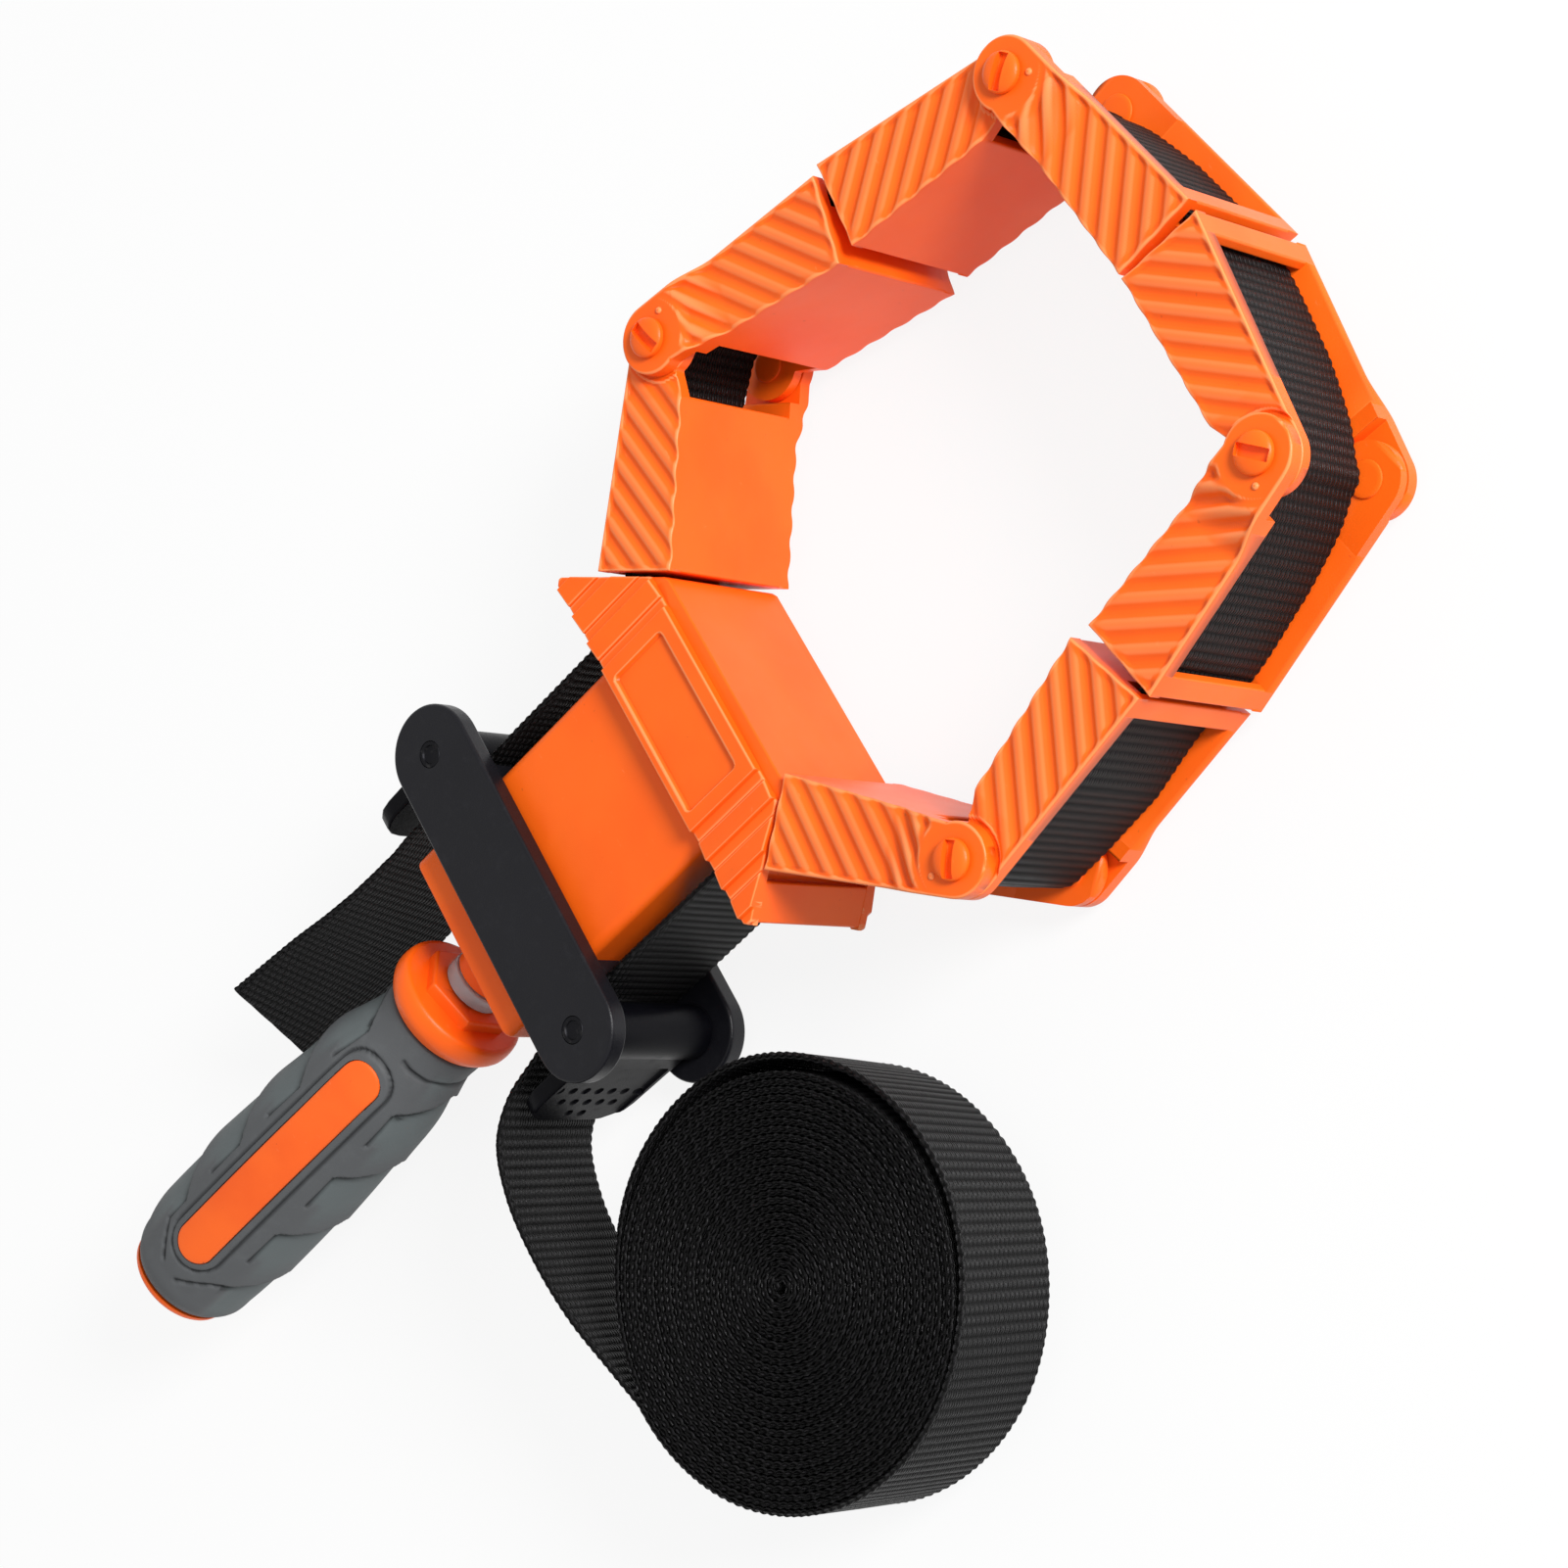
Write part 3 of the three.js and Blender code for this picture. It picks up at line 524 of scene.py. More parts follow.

# %% [markdown]
# The grip is moulded over the core in grey rubber. Its tread blocks look a little lighter and cooler than
# the ground between them, and painted shade darkens the grooves and a thin line along each block's lip. The
# mesh carries both as numbers on each point, and the rubber has a dull fine grain.

# %% Grey rubber
def rubber_finish():
    finish = Finish("grey rubber", IOR=1.48, Specular_IOR_Level=0.35)
    block_share = finish.attribute("tread")
    dust = finish.smooth(finish.noise(260, 4.0, 0.7), 0.45, 0.85)
    body = finish.mix(finish.smooth(block_share, 0.05, 0.6), colour(85, 87, 89), colour(93, 100, 101))
    body = finish.mix(dust * 0.16, body, colour(124, 128, 130))
    # Painted shade: the grooves and a thin line along each block's lip are darkened in the colour
    body = finish.mix(finish.attribute("groove") * 0.85, body, colour(26, 27, 29))
    finish.set("Base Color", body)
    finish.set("Roughness", 0.6 + dust * 0.15)
    finish.set("Normal", finish.bump(finish.noise(3800, 3.0), 0.00005))
    return finish.material


grey_rubber = rubber_finish()
print("made", grey_rubber.name)

# %% [markdown]
# The spindle and the nut are steel. Turning leaves fine rings round a shaft, so noise is stretched across
# the axis, and it moves both the roughness and the bump. The pins that the levers turn on are blackened
# steel, with a little bare metal where the rolled rims have rubbed. The thrust washer is clear plastic
# with a faint haze.

# %% Steel and clear plastic
def steel_finish():
    finish = Finish("turned steel", Metallic=1.0)
    rings = finish.noise(900, 3.0, 0.6, (0.15, 4, 0.15))
    stain = finish.noise(130, 3.0)
    finish.set("Base Color", finish.mix(stain, colour(196, 198, 200), colour(160, 162, 166)))
    finish.set("Roughness", 0.2 + rings * 0.18)
    finish.set("Normal", finish.bump(rings, 0.00006))
    return finish.material


def blackened_finish():
    finish = Finish("blackened steel", Metallic=1.0)
    wear = finish.smooth(finish.noise(700, 3.0), 0.55, 0.75)
    finish.set("Base Color", finish.mix(wear, colour(40, 40, 43), colour(70, 69, 69)))
    finish.set("Roughness", 0.5 + wear * 0.1)
    finish.set("Normal", finish.bump(finish.noise(2600, 2.0), 0.00004))
    return finish.material


def clear_finish():
    finish = Finish("clear plastic", IOR=1.49, Transmission_Weight=0.6)
    haze = finish.noise(300, 3.0)
    finish.set("Base Color", finish.mix(haze, colour(236, 238, 240), colour(222, 225, 228)))
    finish.set("Roughness", 0.06 + haze * 0.1)
    return finish.material


turned_steel = steel_finish()
blackened_steel = blackened_finish()
clear_plastic = clear_finish()
print("made", turned_steel.name, blackened_steel.name, clear_plastic.name, sep=", ")

# %% [markdown]
# Webbing is woven: thick ribs lie across it, and fine yarns run along it over the ribs. The ribs are in
# the mesh. The yarns are too fine for that, so they are a bump, drawn from two numbers that the mesh
# carries: the distance along the webbing and the distance across it. Each yarn goes under every second
# rib.

# %% Webbing
YARN = 0.65
PICK = 1.8


def webbing_finish():
    finish = Finish("black webbing", IOR=1.5, Specular_IOR_Level=0.2)
    along = finish.attribute("along")
    across = finish.attribute("across")
    yarn = finish.maths("ABSOLUTE", finish.maths("SINE", across * (math.pi / YARN)))
    step = finish.maths("FLOORED_MODULO", finish.maths("FLOOR", across / YARN), 2.0)
    over = finish.maths("SINE", along * (2 * math.pi / (2 * PICK)) + step * math.pi)
    strands = finish.noise(2600, 3.0)
    wear = finish.noise(120, 3.0)
    height = yarn * 0.7 + over * 0.35 + strands * 0.35
    # Painted shade: the colour is darker where the weave lies low
    body = finish.mix(finish.smooth(height, 0.5, 1.3), colour(2, 2, 2), colour(31, 30, 32))
    body = finish.mix(wear * 0.15, body, colour(34, 32, 34))
    # Painted shade in the hollows between ribs, and between the beads of the roll
    finish.set("Base Color", finish.mix(finish.attribute("valley") * 0.9, body, colour(1, 1, 1)))
    finish.set("Roughness", 0.3 + strands * 0.16 + finish.attribute("valley") * 0.4)
    finish.set("Normal", finish.bump(height, 0.0004))
    return finish.material


black_webbing = webbing_finish()
print("made", black_webbing.name)

# %% [markdown]
# A finished piece gets its material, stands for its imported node, and rides on that node's body. One helper
# does this for all rigid pieces.

# %% Dress a piece
BODY_OF = {node: body for body, nodes in frame["record"]["behaviour"]["bodies"].items() for node in nodes}
LARGE_FACE = 1.2 * MM


# The orange finish turns this number into a painted highlight on edges and painted shade in corners
def mark_edges(thing):
    """Store on each point how sharply the surface turns there, above 0 for edges and below 0 for corners.

    Points of large faces get 0, so that the value stays near the edge that it belongs to.
    """
    places, normals = read_points(thing), read_points(thing, "normal")
    pairs = np.empty(len(thing.data.edges) * 2, int)
    thing.data.edges.foreach_get("vertices", pairs)
    pairs = pairs.reshape(-1, 2)
    way = places[pairs[:, 1]] - places[pairs[:, 0]]
    length = np.linalg.norm(way, axis=1)
    way /= np.maximum(length, 1e-9)[:, None]
    total, count, longest = np.zeros((3, len(places)))
    for end, sign in ((0, -1), (1, 1)):
        np.add.at(total, pairs[:, end], sign * np.einsum("ij,ij->i", normals[pairs[:, end]], way))
        np.add.at(count, pairs[:, end], 1)
        np.maximum.at(longest, pairs[:, end], length)
    store(thing, "edge", np.where(longest < LARGE_FACE, total / np.maximum(count, 1), 0))


def dress(thing, node, material):
    if node.startswith("link_") or node == "pressure_head":
        mark_edges(thing)
    thing.data.materials.clear()
    thing.data.materials.append(material)
    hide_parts(node)
    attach(thing, BODY_OF[node])


def place_copy(model, matrix, name, node, angle=34):
    """Dress a copy of a model, moved by a matrix, as one of the orange pieces."""
    mesh = model.data.copy()
    mesh.transform(matrix)
    copy = in_scene(name, mesh)
    finish_edges(copy, angle)
    dress(copy, node, orange_nylon)


# %% [markdown]
# A jaw link is a moulded channel: a floor that presses on the work, two side plates with slanting ribs,
# and at its free end a wall below the webbing and a bar above it. At the hinge one side plate ends in an
# inner ear, flush with the plate, and the other swells out into an outer ear that lies over its neighbour.
# The side plates are grids of points: each point's height is the sum of ribs, ramp and rounded rim, so one
# mesh holds the whole moulded surface.

# %% Sizes of a link
LINK_REACH = 39.7
PIN_TO_FACE = 5.5
FREE_TOP = 11.0
EAR_RADIUS = 6.25
CHANNEL_HALF = 13.6
PLATE_OUT = 15.6
EAR_IN = 15.9
EAR_OUT = 18.75
RIB_PITCH = 4.0
RIB_HEIGHT = 0.7
RIB_SLANT = math.pi / 4
BAR_LENGTH = 4.0
BAR_THICK = 1.9
FLOOR_THICK = 2.2
EAR_STEP = 6.8
PIN_RADIUS = 2.6
RUN_GAP = 0.3
WEB_HALF = 0.6

top_slope = math.atan2(FREE_TOP, LINK_REACH) + math.acos(EAR_RADIUS / math.hypot(FREE_TOP, LINK_REACH))
ear_tangent = EAR_RADIUS * towards(top_slope)
ear_foot = math.asin(PIN_TO_FACE / EAR_RADIUS)


def edge_at(x):
    return FREE_TOP - (LINK_REACH - x) * (FREE_TOP - ear_tangent[1]) / (LINK_REACH - ear_tangent[0])


def plate_lower(x):
    if x < EAR_RADIUS * math.cos(ear_foot):
        return -math.sqrt(EAR_RADIUS**2 - x**2)
    return -PIN_TO_FACE


def plate_upper(x):
    return math.sqrt(EAR_RADIUS**2 - x**2) if x < ear_tangent[0] else edge_at(x)


INNER_NECK = 5.1
INNER_KNEE = 10.0
inner_foot = math.acos(INNER_NECK / EAR_RADIUS)


def inner_lower(x):
    """The inner ear's plate is cut away between the ear and the floor."""
    if x < INNER_NECK:
        return -math.sqrt(EAR_RADIUS**2 - x**2)
    neck = -EAR_RADIUS * math.sin(inner_foot)
    return neck - (PIN_TO_FACE + neck) * min((x - INNER_NECK) / (INNER_KNEE - INNER_NECK), 1)


def smooth_step(value, low, high):
    share = np.clip((value - low) / (high - low), 0, 1)
    return share * share * (3 - 2 * share)


def valleys(x, y):
    """How deep each place lies between slanting ribs, from 0 on a crest to 1; crests are the narrower."""
    place = (x - LINK_REACH / 2) * math.cos(RIB_SLANT) + y * math.sin(RIB_SLANT) + LINK_REACH
    phase = 2 * math.pi * place / RIB_PITCH
    return 1 - (0.5 - 0.5 * np.cos(phase + 0.35 * np.sin(phase))) ** 1.4


def far_from(points, outline):
    """Distance from each point to an open line of points."""
    least = np.full(len(points), np.inf)
    for a, b in zip(outline[:-1], outline[1:]):
        edge = b - a
        share = np.clip(((points - a) @ edge) / (edge @ edge), 0, 1)
        least = np.minimum(least, np.linalg.norm(points - a - share[:, None] * edge, axis=1))
    return least


# %% Grid plate
EDGE_SHARES = np.array([0.0, 0.08, 0.25, 0.55, 1.0])


def grid_plate(columns, lower, upper, top, bottom, rim, radius, middle_rows):
    """A closed plate on a grid of columns: top(x, y) high, with a rim line that is rounded by radius."""
    edge_rows = radius * EDGE_SHARES
    grid = []
    for x in columns:
        low, high = lower(x), upper(x)
        rows = edge_rows * min(1.0, (high - low) / (4 * radius))
        middle = np.linspace(low + rows[-1], high - rows[-1], middle_rows + 2)[1:-1]
        ys = np.concatenate([low + rows, middle, (high - rows)[::-1]])
        grid.append(np.column_stack([np.full(len(ys), x), ys]))
    count = len(grid[0])
    flat = np.concatenate(grid)
    away = np.minimum(far_from(flat, rim), radius)
    drop = radius - np.sqrt(radius**2 - (radius - away) ** 2)
    heights = top(flat[:, 0], flat[:, 1]) - drop
    points = list(np.column_stack([flat, heights]))
    faces = []
    for c in range(len(columns) - 1):
        a, b = c * count, (c + 1) * count
        for r in range(count - 1):
            faces.append((a + r, b + r, b + r + 1, a + r + 1))
    base = len(points)
    for column, x in zip(grid, columns):
        points.append([x, column[0][1], bottom(x)])
        points.append([x, column[-1][1], bottom(x)])
    for c in range(len(columns) - 1):
        a, b = c * count, (c + 1) * count
        low_a, low_b = base + 2 * c, base + 2 * c + 2
        faces.append((low_a, low_a + 1, low_b + 1, low_b))
        faces.append((a, low_a, low_b, b))
        faces.append((a + count - 1, b + count - 1, low_b + 1, low_a + 1))
    last = (len(columns) - 1) * count
    end = base + 2 * (len(columns) - 1)
    faces.append((*range(count - 1, -1, -1), base, base + 1))
    faces.append((*range(last, last + count), end + 1, end))
    return np.array(points), faces


# %% Side plates of a link
def link_rim(foot, knee):
    ear = arc((0, 0), EAR_RADIUS, top_slope, 2 * math.pi - foot, 48)
    corners = np.array([(knee, -PIN_TO_FACE), (LINK_REACH, -PIN_TO_FACE), (LINK_REACH, FREE_TOP)])
    return np.concatenate([corners[-1:], ear, corners])


def link_columns(step_at=None):
    ear = -EAR_RADIUS * np.cos(np.radians(np.arange(2, 88, 5)))
    end = LINK_REACH - 0.45 * EDGE_SHARES[::-1]
    columns = np.concatenate([ear, np.arange(0.0, 39.2, 0.36), end])
    if step_at is not None:
        columns = columns[np.abs(columns - step_at) > 0.1]
        columns = np.sort(np.concatenate([columns, [step_at, step_at + 0.01]]))
    return columns


def rib_share(x, y):
    """Ribs fade at the upper rim and the free end, and stay a little lower along the pressing floor."""
    shown = smooth_step(edge_at(x) - y, 0.3, 1.2)
    shown = shown * (0.7 + 0.3 * smooth_step(y + PIN_TO_FACE, 0.0, 1.5))
    return shown * (0.35 + 0.65 * smooth_step(LINK_REACH - x, 0.2, 1.4))


def outer_top(x, y):
    """The outer side: the ear at full height, then crests that come down to the plate, and valleys."""
    high = 1 - smooth_step(x, 6.5, 15.5)
    crest = PLATE_OUT + RIB_HEIGHT + (EAR_OUT - PLATE_OUT - RIB_HEIGHT) * high
    depth = RIB_HEIGHT + 0.55 * (1 - smooth_step(x, 9.5, 15.5))
    shown = smooth_step(np.hypot(x, y), 6.9, 8.9) * rib_share(x, y)
    return crest - depth * valleys(x, y) * shown


def inner_top(x, y):
    away = np.hypot(x, y)
    crest = PLATE_OUT + RIB_HEIGHT * smooth_step(away, 6.7, 7.3)
    shown = smooth_step(away, 6.9, 7.6) * rib_share(x, y)
    return crest - RIB_HEIGHT * valleys(x, y) * shown


PLATE_IN = CHANNEL_HALF - 0.2
outer_side = grid_plate(
    link_columns(EAR_STEP), plate_lower, plate_upper, outer_top,
    bottom=lambda x: EAR_IN if x <= EAR_STEP else PLATE_IN, rim=link_rim(ear_foot, 6.0), radius=0.4,
    middle_rows=40,
)
inner_side = grid_plate(
    link_columns(), inner_lower, plate_upper, inner_top,
    bottom=lambda x: PLATE_IN, rim=link_rim(inner_foot, INNER_KNEE), radius=0.35, middle_rows=40,
)
print("points in the two side plates of a link:", len(outer_side[0]), len(inner_side[0]))

# %% Whole link
FLOOR_START = 9.5
END_WALL_TOP = 5.8
floor_top = FLOOR_THICK - PIN_TO_FACE
floor_outline = fillet(
    [
        (FLOOR_START, -PIN_TO_FACE), (LINK_REACH, -PIN_TO_FACE),
        (LINK_REACH, floor_top), (FLOOR_START, floor_top),
    ],
    [0.5, 0.4, 0.4, 0.5],
)
bar_start = LINK_REACH - BAR_LENGTH
bar_outline = fillet(
    [
        (bar_start, edge_at(bar_start) - BAR_THICK), (LINK_REACH, FREE_TOP - BAR_THICK),
        (LINK_REACH, FREE_TOP), (bar_start, edge_at(bar_start)),
    ],
    0.4,
)
nub_profile = [(0.62, -0.5), (0.62, 0.12), (0.5, 0.3), (0.26, 0.4), (0.08, 0.42)]
nub = stacked([(r, EAR_OUT + z) for r, z in nub_profile], 5.0 * towards(math.radians(45)), 12)
span = CHANNEL_HALF + 0.3
link_model = combine(
    "link_model",
    rounded_prism(floor_outline, -span, span, sharp_low=True, sharp_high=True),
    add=[
        rounded_prism(bar_outline, -span, span, sharp_low=True, sharp_high=True),
        block(LINK_REACH - 1.6, LINK_REACH - 0.02, -5.0, END_WALL_TOP, 0.1 - span, span - 0.1),
        outer_side,
        flipped(inner_side, 2),
        nub,
    ],
    angle=40,
)

# %% [markdown]
# Eight links stand round the ring, each turned about its pin. The record's jaw faces give their directions
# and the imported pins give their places. First links are turned over, so that outer ears meet inner ears.
# The bore for the pin is cut in the model link once, and each link gets a copy of its points in place.

# %% Place the links
LINKS = {}
for mount in frame["record"]["mounts"]:
    if not mount["name"].startswith("jaw_face_"):
        continue
    key = mount["name"][-2:]
    inward = np.array(mount["axis"][:2], float)
    first = key[1] == "1"
    low_corner, high_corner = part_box(f"hinge_pin_{key[0]}_front")
    pin = np.array((low_corner + high_corner)[:2]) / 2 / MM
    LINKS[key] = {
        "pin": pin,
        "first": first,
        "direction": np.array([inward[1], -inward[0]]) if first else np.array([-inward[1], inward[0]]),
        "outward": -inward,
    }


def on_link(key, reach, outwards):
    link = LINKS[key]
    return link["pin"] + link["direction"] * reach + link["outward"] * outwards


def link_matrix(key):
    link = LINKS[key]
    place = Matrix.Translation((link["pin"][0] * MM, link["pin"][1] * MM, 0))
    angle = math.atan2(link["direction"][1], link["direction"][0])
    over = Matrix.Rotation(math.pi if link["first"] else 0, 4, "X")
    return place @ Matrix.Rotation(angle, 4, "Z") @ over


cut_holes(link_model, [rod(PIN_RADIUS + RUN_GAP, -22, 22)])
for key in LINKS:
    place_copy(link_model, link_matrix(key), f"jaw_{key}", f"link_{key}", 40)
bpy.data.objects.remove(link_model, do_unlink=True)
print("links in place:", sorted(LINKS))

# %% [markdown]
# Snap pins hold the ears together from both sides. Each has a low domed head with a closed slot for a
# blade, and a split shank that ends in a snap rim inside the channel. The slots stand as they were left.

# %% Hinge pins
PIN_SEAT = EAR_OUT + RUN_GAP
PIN_TOP = PIN_SEAT + 1.7
SLOT_TURNS = {"a": 0.19, "b": 2.2, "c": 0.68, "d": 2.44}
pin_profile = [
    (2.3, 12.7), (3.0, 12.9), (3.15, 13.15), (2.6, 13.3), (2.6, PIN_SEAT), (3.42, PIN_SEAT),
    (3.5, PIN_SEAT + 0.1), (3.5, PIN_TOP - 1.05), (3.44, PIN_TOP - 0.88), (3.28, PIN_TOP - 0.7),
    (3.0, PIN_TOP - 0.5), (2.55, PIN_TOP - 0.31), (1.9, PIN_TOP - 0.15), (1.0, PIN_TOP - 0.04),
    (0.3, PIN_TOP),
]
slot_outline = fillet([(-3.1, -1.05), (3.1, -1.05), (3.1, 1.05), (-3.1, 1.05)], 0.2)
slot_cut = rounded_prism(slot_outline, PIN_TOP - 1.6, PIN_TOP + 2, sharp_high=True, edge=0.1)
pin_model = combine("pin_model", stacked(pin_profile, (0, 0), 56), cut=[slot_cut])
for key, slot_turn in SLOT_TURNS.items():
    for side in ("front", "rear"):
        place = Matrix.Translation((*(LINKS[key + "1"]["pin"] * MM), 0)) @ Matrix.Rotation(slot_turn, 4, "Z")
        over = Matrix.Rotation(0 if side == "front" else math.pi, 4, "X")
        place_copy(pin_model, place @ over, f"snap_pin_{key}_{side}", f"hinge_pin_{key}_{side}")
bpy.data.objects.remove(pin_model, do_unlink=True)

# %% [markdown]
# The pressure head is the ninth jaw. Its pressing face stands a little proud of two side plates. Each side
# plate has a raised frame round a bare panel in the middle, and shingled bands towards its slanted ends.
# The webbing enters through the open ends and turns down round a bar, and a low wall ties the side plates
# at the tip of each wing. The side plates are grids again.

# %% Sizes of the head
FACE_HALF = 22.3
SLANT = math.radians(50.5)
SLANT_LENGTH = 24.5
HEAD_DEPTH = 20.0
FACE_THICK = 4.0
SHOULDER_DROP = 2.5
FRAME_HALF = 17.5
HOUSING_HALF = 19.5
slant_right = np.array([math.cos(SLANT), -math.sin(SLANT)])
head_tip = np.array([FACE_HALF, 0]) + slant_right * SLANT_LENGTH
head_foot = np.array([head_tip[0] - (HEAD_DEPTH + head_tip[1]), -HEAD_DEPTH])


def head_outline(drop, bevel=0.0):
    corner = np.array([FACE_HALF + drop / math.tan(SLANT), -drop])
    ends = [corner + slant_right * bevel, corner - np.array([bevel, 0])] if bevel else [corner]
    right = [head_foot, head_tip, *ends]
    left = [np.array([-x, y]) for x, y in reversed(right)]
    return np.array([*right, *left])


def head_lower(x):
    return -HEAD_DEPTH if abs(x) <= head_foot[0] else -HEAD_DEPTH + abs(x) - head_foot[0]


def head_upper(x):
    reach = FACE_HALF + SHOULDER_DROP / math.tan(SLANT)
    return -SHOULDER_DROP if abs(x) <= reach else -(abs(x) - FACE_HALF) * math.tan(SLANT)


def box_distance(x, y, x0, x1, y0, y1, corner):
    """Signed distance to a rectangle with rounded corners, negative inside."""
    dx = np.abs(x - (x0 + x1) / 2) - (x1 - x0) / 2 + corner
    dy = np.abs(y - (y0 + y1) / 2) - (y1 - y0) / 2 + corner
    return np.hypot(np.maximum(dx, 0), np.maximum(dy, 0)) + np.minimum(np.maximum(dx, dy), 0) - corner


BAND_PITCH = 6.07
BAND_STEP = 2.3
BAND_RISE = 0.9
BAND_EDGE = 0.2
TIP_FLAT = 0.4
PANEL_HALF = 14.7


def head_top(x, y):
    """A raised frame and a panel in the middle; outwards, steps and bands that rise to a sharp edge."""
    out = np.abs(x) - FRAME_HALF
    place = np.mod(out, BAND_PITCH)
    dropping = 1 - smooth_step(place, 0.0, 0.22)
    rising = 0.28 * smooth_step(place, BAND_STEP, BAND_STEP + BAND_EDGE)
    ramp = (place - BAND_STEP - BAND_EDGE) / (BAND_PITCH - BAND_STEP - BAND_EDGE)
    rising = rising + 0.72 * np.clip(ramp, 0, 1)
    crease = 0.2 * np.exp(-(((place - BAND_STEP) / 0.16) ** 2))
    height = np.where(out > 0, np.maximum(dropping, rising) - crease, 1.0)
    panel = box_distance(x, y, -PANEL_HALF, PANEL_HALF, -18.4, -5.6, 0.9)
    return PLATE_OUT + BAND_RISE * (height - smooth_step(-panel, -0.15, 0.35))


def head_columns():
    marks = [np.arange(-0.3, head_tip[0], 0.45)]
    for start in FRAME_HALF + BAND_PITCH * np.arange(4):
        marks.append(start + np.array([-0.05, 0, 0.07, 0.15, 0.22, 0.5]))
        marks.append(start + BAND_STEP + np.array([-0.3, -0.2, -0.1, 0, 0.1, 0.2, 0.35]))
    marks.append(PANEL_HALF + np.array([-0.35, -0.22, -0.14, -0.06, 0.02, 0.1, 0.2]))
    marks.append(np.array([head_foot[0], head_tip[0] - TIP_FLAT]))
    half = np.unique(np.round(np.concatenate(marks), 3))
    half = half[(half > 0.1) & (half < head_tip[0] - TIP_FLAT + 0.001)]
    keep = np.concatenate([[True], np.diff(half) > 0.03])
    half = half[keep]
    return np.concatenate([-half[::-1], half])


# %% Whole head
def head_plate():
    outline = head_outline(SHOULDER_DROP)
    rim = np.concatenate([outline, outline[:1]])
    return grid_plate(
        head_columns(), head_lower, head_upper, head_top,
        bottom=lambda x: CHANNEL_HALF, rim=rim, radius=0.3, middle_rows=60,
    )


WING_IN = HOUSING_HALF + RUN_GAP + 2.0
ANVIL_THICK = 3.5
GUIDE_RADIUS = 3.0
wall_step = PLATE_OUT - 0.8
WEB_HEIGHT = edge_at(LINK_REACH - BAR_LENGTH) - BAR_THICK - RUN_GAP - WEB_HALF
WEB_RUN_X = HOUSING_HALF + RUN_GAP + ANVIL_THICK + RUN_GAP + WEB_HALF
ANGLE_A1 = SLANT - math.pi / 2
web_entry = on_link("a1", LINK_REACH + 0.9, WEB_HEIGHT)
web_corner = web_entry + towards(ANGLE_A1) * (-WEB_RUN_X - web_entry[0]) / math.cos(ANGLE_A1)
GUIDE_OFF = GUIDE_RADIUS + RUN_GAP + WEB_HALF
guide = np.array([
    web_corner[0] - GUIDE_OFF, web_corner[1] + GUIDE_OFF / math.tan(SLANT) - GUIDE_OFF / math.sin(SLANT)
])


def tip_wall():
    """Cross wall between the side plates at the end of a wing, below the mouth for the webbing."""
    inwards = np.array([-math.sin(SLANT), -math.cos(SLANT)])
    low, high = head_tip - slant_right * TIP_FLAT, head_tip - slant_right * 7.6
    corners = [low + inwards * 2.6, low + inwards * 0.05, high + inwards * 0.05, high + inwards * 2.6]
    return rounded_prism(fillet(corners, 0.5), -span, span, sharp_low=True, sharp_high=True)


wing_cut = block(WING_IN, 48, -24, -FACE_THICK, -CHANNEL_HALF, CHANNEL_HALF)
socket_cut = block(
    -HOUSING_HALF - RUN_GAP, HOUSING_HALF + RUN_GAP, -24, -FACE_THICK, -CHANNEL_HALF, CHANNEL_HALF
)
head_wall = rounded_prism(head_outline(0, 0.6), -wall_step, wall_step, edge=0.35)
front_plate = head_plate()
guide_bar = rod(GUIDE_RADIUS, -span, span, *guide)
head_body = combine(
    "head_body",
    head_wall,
    cut=[*both_sides(wing_cut), socket_cut],
    add=[front_plate, flipped(front_plate, 2), *both_sides(guide_bar), *both_sides(tip_wall())],
    angle=30,
)
dress(head_body, "pressure_head", orange_nylon)

# %% [markdown]
# The stem housing is a plain box with rounded corners that plugs into the head. It is closed at the
# handle's end but for the hole of the spindle, and slotted at its sides for the arms of the nut. A short
# round nose under the end wall takes the thrust of the handle.

# %% Stem housing
HOUSING_TOP = -4.3
HOUSING_END = -77.0
HOUSING_DEPTH = CHANNEL_HALF - RUN_GAP
HOUSING_WALL = 2.2
END_WALL = 4.0
NOSE_RADIUS = 5.8
NOSE_END = -84.8
SHAFT_HOLE = 4.3
CAM_Y = -59.6
ARM_SLOT_HALF = 4.3
ARM_SLOT_UP = 24.3
ARM_SLOT_DOWN = 10.3
box_outline = fillet(
    [
        (-HOUSING_HALF, -HOUSING_DEPTH), (HOUSING_HALF, -HOUSING_DEPTH),
        (HOUSING_HALF, HOUSING_DEPTH), (-HOUSING_HALF, HOUSING_DEPTH),
    ],
    2.0, 8,
)
cavity_x, cavity_z = HOUSING_HALF - HOUSING_WALL, HOUSING_DEPTH - HOUSING_WALL
cavity = block(-cavity_x, cavity_x, HOUSING_END + END_WALL, 4, -cavity_z, cavity_z)
arm_slot = block(-30, 30, CAM_Y - ARM_SLOT_DOWN, CAM_Y + ARM_SLOT_UP, -ARM_SLOT_HALF, ARM_SLOT_HALF)
shaft_hole = rod_y(SHAFT_HOLE, -90, 0, sharp_low=True, sharp_high=True)
nose = rod_y(NOSE_RADIUS, NOSE_END, HOUSING_END + 0.5, edge=0.3, sharp_high=True)
housing_shell = along_y(box_outline, HOUSING_END, HOUSING_TOP, edge=0.6)
housing_box = combine("housing_box", housing_shell, add=[nose], angle=30)
cut_holes(housing_box, [cavity], [arm_slot], [shaft_hole])
finish_edges(housing_box, 30)
dress(housing_box, "stem_housing", orange_nylon)

# %% [markdown]
# The carriage is two black stadium plates that hold the cam levers between them. Steel pins pass through
# both, and the rolled rims round their dished ends show as rings in the plates.

